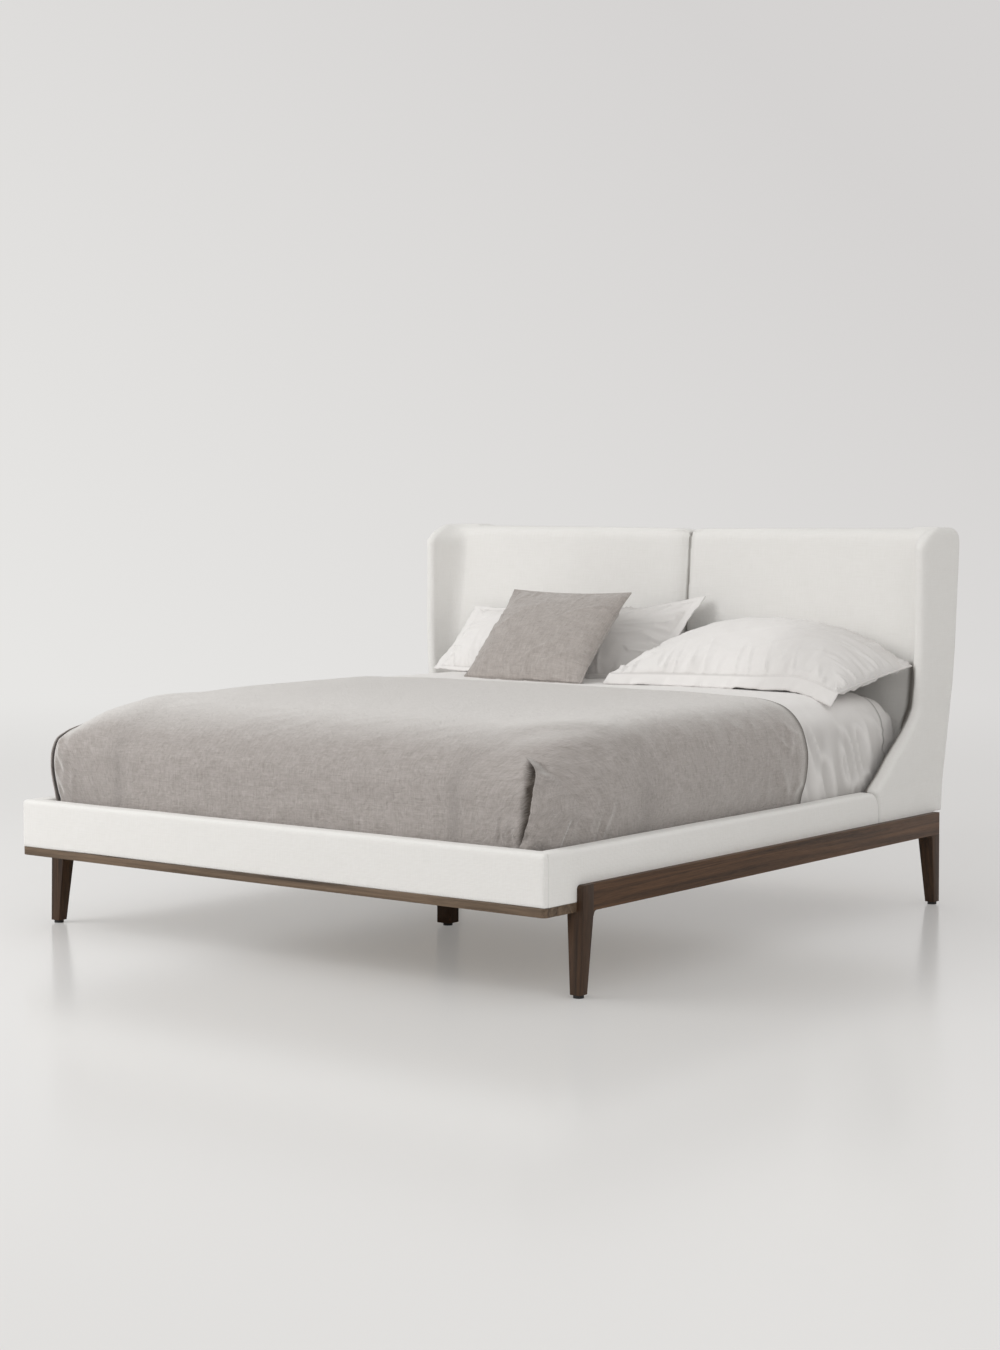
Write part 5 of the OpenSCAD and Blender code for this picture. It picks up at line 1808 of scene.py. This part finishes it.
@dataclass
class Timber:
    """The show timber and the hidden structure."""

    bevel: float = 2.0
    oak: dict = field(default_factory=lambda: {
        Grain.UP: ("front_leg_left", "front_leg_right", "rear_leg_left", "rear_leg_right",
                   "centre_leg_front", "centre_leg_rear"),
        Grain.ALONG: ("side_rail_left", "side_rail_right"),
        Grain.ACROSS: ("foot_trim_board", "corner_trim_left", "corner_trim_right")})
    pine: dict = field(default_factory=lambda: {
        Grain.UP: ("headboard_core",),
        Grain.ALONG: ("side_core_left", "side_core_right", "slat_ledge_left", "slat_ledge_right",
                      "centre_beam"),
        Grain.ACROSS: ("head_cross_rail", "foot_core")})

    def eased(self, node: str) -> bpy.types.Object:
        """Copy a CAD board and ease its arrises.

        Args:
            node: The CAD node.

        Returns:
            The board.
        """
        obj = merged_copy(node, node + "_board")
        form = bmesh.new()
        form.from_mesh(obj.data)
        bmesh.ops.dissolve_limit(form, angle_limit=math.radians(0.5), verts=form.verts, edges=form.edges)
        form.to_mesh(obj.data)
        form.free()
        ease = obj.modifiers.new("ease", "BEVEL")
        ease.width = (2 if node.startswith("corner_trim") else 1) * self.bevel * MM
        ease.segments = 2
        ease.limit_method = "ANGLE"
        ease.angle_limit = math.radians(32)
        return settle(obj)

    def build(self) -> None:
        """Build every board."""
        for looks, slot, groups in ((OAK, Slot.OAK, self.oak), (PINE, Slot.PINE, self.pine)):
            for grain, nodes in groups.items():
                for node in nodes:
                    obj = self.eased(node)
                    box_map(obj)
                    finish(obj, looks[grain], Body.FRAME, slot, [node], arris=True)


def dress_node(node: str, look: WovenCloth | WorkedMetal) -> None:
    """Give a CAD node that is shown as it is its finish.

    Args:
        node: The CAD node.
        look: Its finish.
    """
    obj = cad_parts[node]
    box_map(obj)
    obj.data.materials.clear()
    obj.data.materials.append(FINISH.get(look))
    LOG.info("%s: shown as built", node)


@dataclass
class Hardware:
    """Brackets, bolts, screws, sleeves, glides and straps, each shown as built."""

    steel: tuple = ("beam_brackets", "corner_brackets")
    black: tuple = ("corner_bolts", "leg_bolts", "ledge_screws", "headboard_bolts")
    brass: tuple = ("glide_inserts",)
    glides: tuple = ("glide_front_left", "glide_front_right", "glide_rear_left", "glide_rear_right",
                     "glide_centre_front", "glide_centre_rear")
    straps: tuple = ("slat_strap_left", "slat_strap_right")

    def build(self) -> None:
        """Dress every piece of hardware."""
        for nodes, look, slot in (
                (self.steel, BRACKET, Slot.BRACKET), (self.black, BOLT, Slot.BOLT),
                (self.brass, BRASS, Slot.BRASS), (self.glides, NYLON, Slot.GLIDE),
                (self.straps, WEBBING, Slot.WEBBING)):
            for node in nodes:
                dress_node(node, look)


@dataclass
class SlatTree:
    """A geometry node tree that sets out the slats along the bed, each with eased edges."""

    count: int = 13
    width: float = 70.0
    ease: float = 3.0
    turn: float = 0.0008
    seed: int = 7

    def tree(self) -> bpy.types.GeometryNodeTree:
        """Build the tree with its named inputs.

        Returns:
            The tree.
        """
        made, given = open_tree("slats", {
            "Count": "Int", "First": "Vector", "Step": "Vector", "Slat": "Object", "Turn": "Float",
            "Seed": "Int", "Finish": "Material"})
        line = add(made, "GeometryNodeMeshLine", {
            "Count": given["Count"], "Start Location": given["First"], "Offset": given["Step"]},
            mode="OFFSET").outputs["Mesh"]
        one = add(made, "GeometryNodeObjectInfo", {"Object": given["Slat"]}).outputs["Geometry"]
        close_tree(made, line, one, chance_turn(made, given["Turn"], given["Seed"], "Z"), given["Finish"])
        return made

    def build(self) -> None:
        """Set out the slats as one plain mesh."""
        low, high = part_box("slats")
        width = self.width * MM
        form = bmesh.new()
        bmesh.ops.create_cube(form, size=1.0)
        bmesh.ops.scale(form, vec=Vector((high.x - low.x, width, high.z - low.z)), verts=form.verts)
        long = [e for e in form.edges if abs(e.verts[0].co.x - e.verts[1].co.x) > width]
        bmesh.ops.bevel(form, geom=long, offset=self.ease * MM, segments=3, affect="EDGES", profile=0.5)
        slat = linked("one_slat", mesh_of(form, "one_slat"))
        host = mesh_piece("slats_form", np.zeros((1, 3)), [])
        pitch = (high.y - low.y - width) / (self.count - 1)
        run_tree(host, self.tree(), {
            "Count": self.count, "First": Vector((0, low.y + width / 2, (low.z + high.z) / 2)),
            "Step": Vector((0, pitch, 0)), "Slat": slat, "Turn": self.turn, "Seed": self.seed,
            "Finish": FINISH.get(PINE[Grain.ACROSS])})
        bpy.data.objects.remove(slat)
        finish(host, PINE[Grain.ACROSS], Body.FRAME, Slot.PINE, ["slats"], arris=True)


# Stage, light and camera


@dataclass
class Studio:
    """A pale glossy floor, soft light from the left front, and the picture's camera."""

    backdrop: tuple[str, str] = ("#e7e6e4", "#d5d3d2")
    eye: tuple[float, float, float] = (5.0368, FOOT_Y - 5.4493, 1.3592)
    floor: str = "#ecebea"
    key: float = 136.0
    fill: float = 34.0
    sky: float = 0.68
    sky_colour: str = "#fbfaf8"
    floor_r: float = 26.0
    key_at: tuple[float, float, float] = (-3.2, -4.1, 3.7)
    key_size: float = 3.4
    fill_at: tuple[float, float, float] = (4.5, -2.5, 3.4)
    fill_size: float = 3.0
    aim: tuple[float, float, float] = (0.0, -0.1, 0.5)
    down: float = 3.93
    turn: float = 37.43
    lens: float = 67.78
    shift: float = 0.0026

    def tone(self, tree: bpy.types.NodeTree, way: bpy.types.NodeSocket) -> bpy.types.NodeSocket:
        """Shade the backdrop by direction: brightest low on the left of the picture.

        Args:
            tree: Where the nodes go.
            way: A direction.

        Returns:
            The colour.
        """
        share = add(tree, "ShaderNodeVectorMath", {0: way, 1: (ACROSS_X, ACROSS_Y, 1.1)},
                    operation="DOT_PRODUCT").outputs["Value"]
        share = add(tree, "ShaderNodeMapRange", {
            "Value": share, "From Min": -0.25, "From Max": 0.28}).outputs[0]
        return add(tree, "ShaderNodeValToRGB", {"Fac": share},
                   stops=tuple(zip((0.0, 1.0), self.backdrop))).outputs["Color"]

    def world(self) -> None:
        """Light the room evenly, with the backdrop's own tone seen by the camera."""
        world = bpy.data.worlds.new("room")
        bpy.context.scene.world = world
        world.use_nodes = True
        tree = world.node_tree
        tree.nodes.clear()
        path = add(tree, "ShaderNodeLightPath").outputs
        seen = add(tree, "ShaderNodeMath", {0: path["Is Camera Ray"], 1: path["Is Glossy Ray"]},
                   operation="MAXIMUM").outputs[0]
        soft = add(tree, "ShaderNodeBackground", {"Color": linear(self.sky_colour), "Strength": self.sky})
        way = add(tree, "ShaderNodeTexCoord").outputs["Generated"]
        pale = add(tree, "ShaderNodeBackground", {"Color": self.tone(tree, way), "Strength": 1.0})
        both = add(tree, "ShaderNodeMixShader", {
            0: seen, 1: soft.outputs[0], 2: pale.outputs[0]}).outputs[0]
        add(tree, "ShaderNodeOutputWorld", {"Surface": both})

    def ground(self) -> None:
        """Lay the floor: pale, polished, with a painted glow near the bed, melting into the backdrop far
        off.
        """
        form = bmesh.new()
        bmesh.ops.create_circle(form, cap_ends=True, segments=96, radius=self.floor_r)
        obj = linked("floor", mesh_of(form, "floor"))
        made, tree, shader = blank("polished_floor")
        place = add(tree, "ShaderNodeTexCoord").outputs["Object"]
        away = add(tree, "ShaderNodeVectorMath", {0: place}, operation="LENGTH").outputs["Value"]
        # Painted light: part of the floor glows for the camera, so that the shade under the bed stays pale,
        # and more of it far off, where it melts into the backdrop
        floor_glow = add(tree, "ShaderNodeMapRange", {
            "Value": away, "From Min": 3.2, "From Max": 10.0, "To Min": 0.24},
            interpolation_type="SMOOTHSTEP").outputs[0]
        path = add(tree, "ShaderNodeLightPath").outputs["Is Camera Ray"]
        share = add(tree, "ShaderNodeMath", {0: floor_glow, 1: path}, operation="MULTIPLY").outputs[0]
        shader.inputs["Base Color"].default_value = linear(self.floor)
        shader.inputs["Roughness"].default_value = 0.18
        shader.inputs["Specular IOR Level"].default_value = 0.5
        off = add(tree, "ShaderNodeVectorMath", {0: place, 1: self.eye}, operation="SUBTRACT").outputs[0]
        way = add(tree, "ShaderNodeVectorMath", {0: off}, operation="NORMALIZE").outputs[0]
        far = add(tree, "ShaderNodeEmission", {"Color": self.tone(tree, way), "Strength": 1.0})
        both = add(tree, "ShaderNodeMixShader", {
            0: share, 1: shader.outputs[0], 2: far.outputs[0]}).outputs[0]
        tree.links.new(both, tree.nodes["Material Output"].inputs["Surface"])
        obj.data.materials.append(made)

    def lamp(self, name: str, place: Sequence[float], size: float, watts: float) -> None:
        """Hang a soft square lamp that looks at the bed.

        Args:
            name: Its name.
            place: Where it hangs, in metres.
            size: Side of the lamp.
            watts: Its power.
        """
        light = bpy.data.lights.new(name, "AREA")
        light.energy = watts
        light.size = size
        obj = linked(name, light)
        obj.location = place
        aim = Vector(self.aim) - Vector(place)
        obj.rotation_euler = aim.to_track_quat("-Z", "Y").to_euler()

    def camera(self) -> None:
        """Set the camera where the picture was taken from, 1.36 m up at the foot's right."""
        data = bpy.data.cameras.new("camera")
        obj = linked("camera", data)
        obj.location = self.eye
        obj.rotation_euler = (math.radians(90 - self.down), 0.0, math.radians(self.turn))
        data.sensor_width = 36.0
        data.lens = self.lens
        data.shift_x = self.shift
        bpy.context.scene.camera = obj

    def build(self) -> None:
        """Build the stage and the light."""
        self.world()
        self.ground()
        self.lamp("key", self.key_at, self.key_size, self.key)
        self.lamp("fill", self.fill_at, self.fill_size, self.fill)
        self.camera()
        bpy.context.scene.view_settings.view_transform = "Standard"


# Edge courses of the pillows, across, along and up, from the mattress's head corners
SEAT = 736.9
LEFT_END = (-965.0, 2096.0, SEAT)
RIGHT_END = (965.0, 2096.0, SEAT)
LEFT_SHAM = Pillow(
    "left_sham_form", "left_sham", Body.LEFT_SHAM, PERCALE, Slot.SHAM,
    front=((84, -196, -1), (272, -226, -1), (460, -256, -1), (652, -276, -1), (850, -262, -1),
           (1066, -176, -1)),
    rear=((96, 40, 222), (285, 42, 216), (475, 50, 214), (670, 64, 214), (870, 82, 238), (1088, 100, 282)),
    origin=LEFT_END, flanges=(0.05, 0.045, 0.05, 0.05), lift=((0, 10, 10), (0, 10, 10)),
    crown=184, draw=14, seed=101,
    # Painted shadow of the throw pillow over its right part
    shadow=lambda u, v: 0.32 * smooth_step(0.25, 0.65, u) * smooth_step(1.16, 0.76, u + 0.12 * v))
RIGHT_SHAM = Pillow(
    "right_sham_form", "right_sham", Body.RIGHT_SHAM, PERCALE, Slot.SHAM,
    front=((-880, -476, -1), (-710, -410, -1), (-540, -381, -1), (-370, -372, -1), (-200, -371, 0),
           (-28, -420, -42)),
    rear=((-830, 40, 160), (-660, 46, 176), (-490, 46, 180), (-320, 44, 170), (-150, 34, 140),
          (44, -8, 72)),
    origin=RIGHT_END, flanges=(0.012, 0.012, 0.1, 0.012), lift=((0, 26, 34), (15, 31, 44)),
    crown=184, draw=14, seed=121, wave=9.0,
    # Painted shade on its right end, which turns away from the light
    shadow=lambda u, v: 0.14 * smooth_step(0.5, 0.74, u))
THROW_PILLOW = Pillow(
    "throw_pillow_form", "throw_pillow", Body.THROW, THROW, Slot.THROW,
    front=((436, -462, -1), (620, -486, -1), (800, -500, -1), (986, -516, -1)),
    rear=((444, -176, 298), (620, -184, 290), (800, -184, 290), (958, -176, 298)),
    origin=LEFT_END, flanges=(0.012, 0.012, 0.012, 0.012), lift=((0, 0, 0), (0, 0, 0)),
    crown=140, draw=18, seed=141, gather=8.0, cells=(130, 120))


def write_sizes() -> None:
    """Update the view layer.
    """
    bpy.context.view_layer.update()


def main() -> None:
    """Build the bed's looks around the frame."""
    logging.basicConfig(level=logging.INFO, format="%(message)s")
    Timber().build()
    SlatTree().build()
    Hardware().build()
    Rails().build()
    HEADBOARD.build()
    Linen().build()
    for pillow in (LEFT_SHAM, RIGHT_SHAM, THROW_PILLOW):
        pillow.build()
    Studio().build()
    write_sizes()


if __name__ == "__main__":
    main()
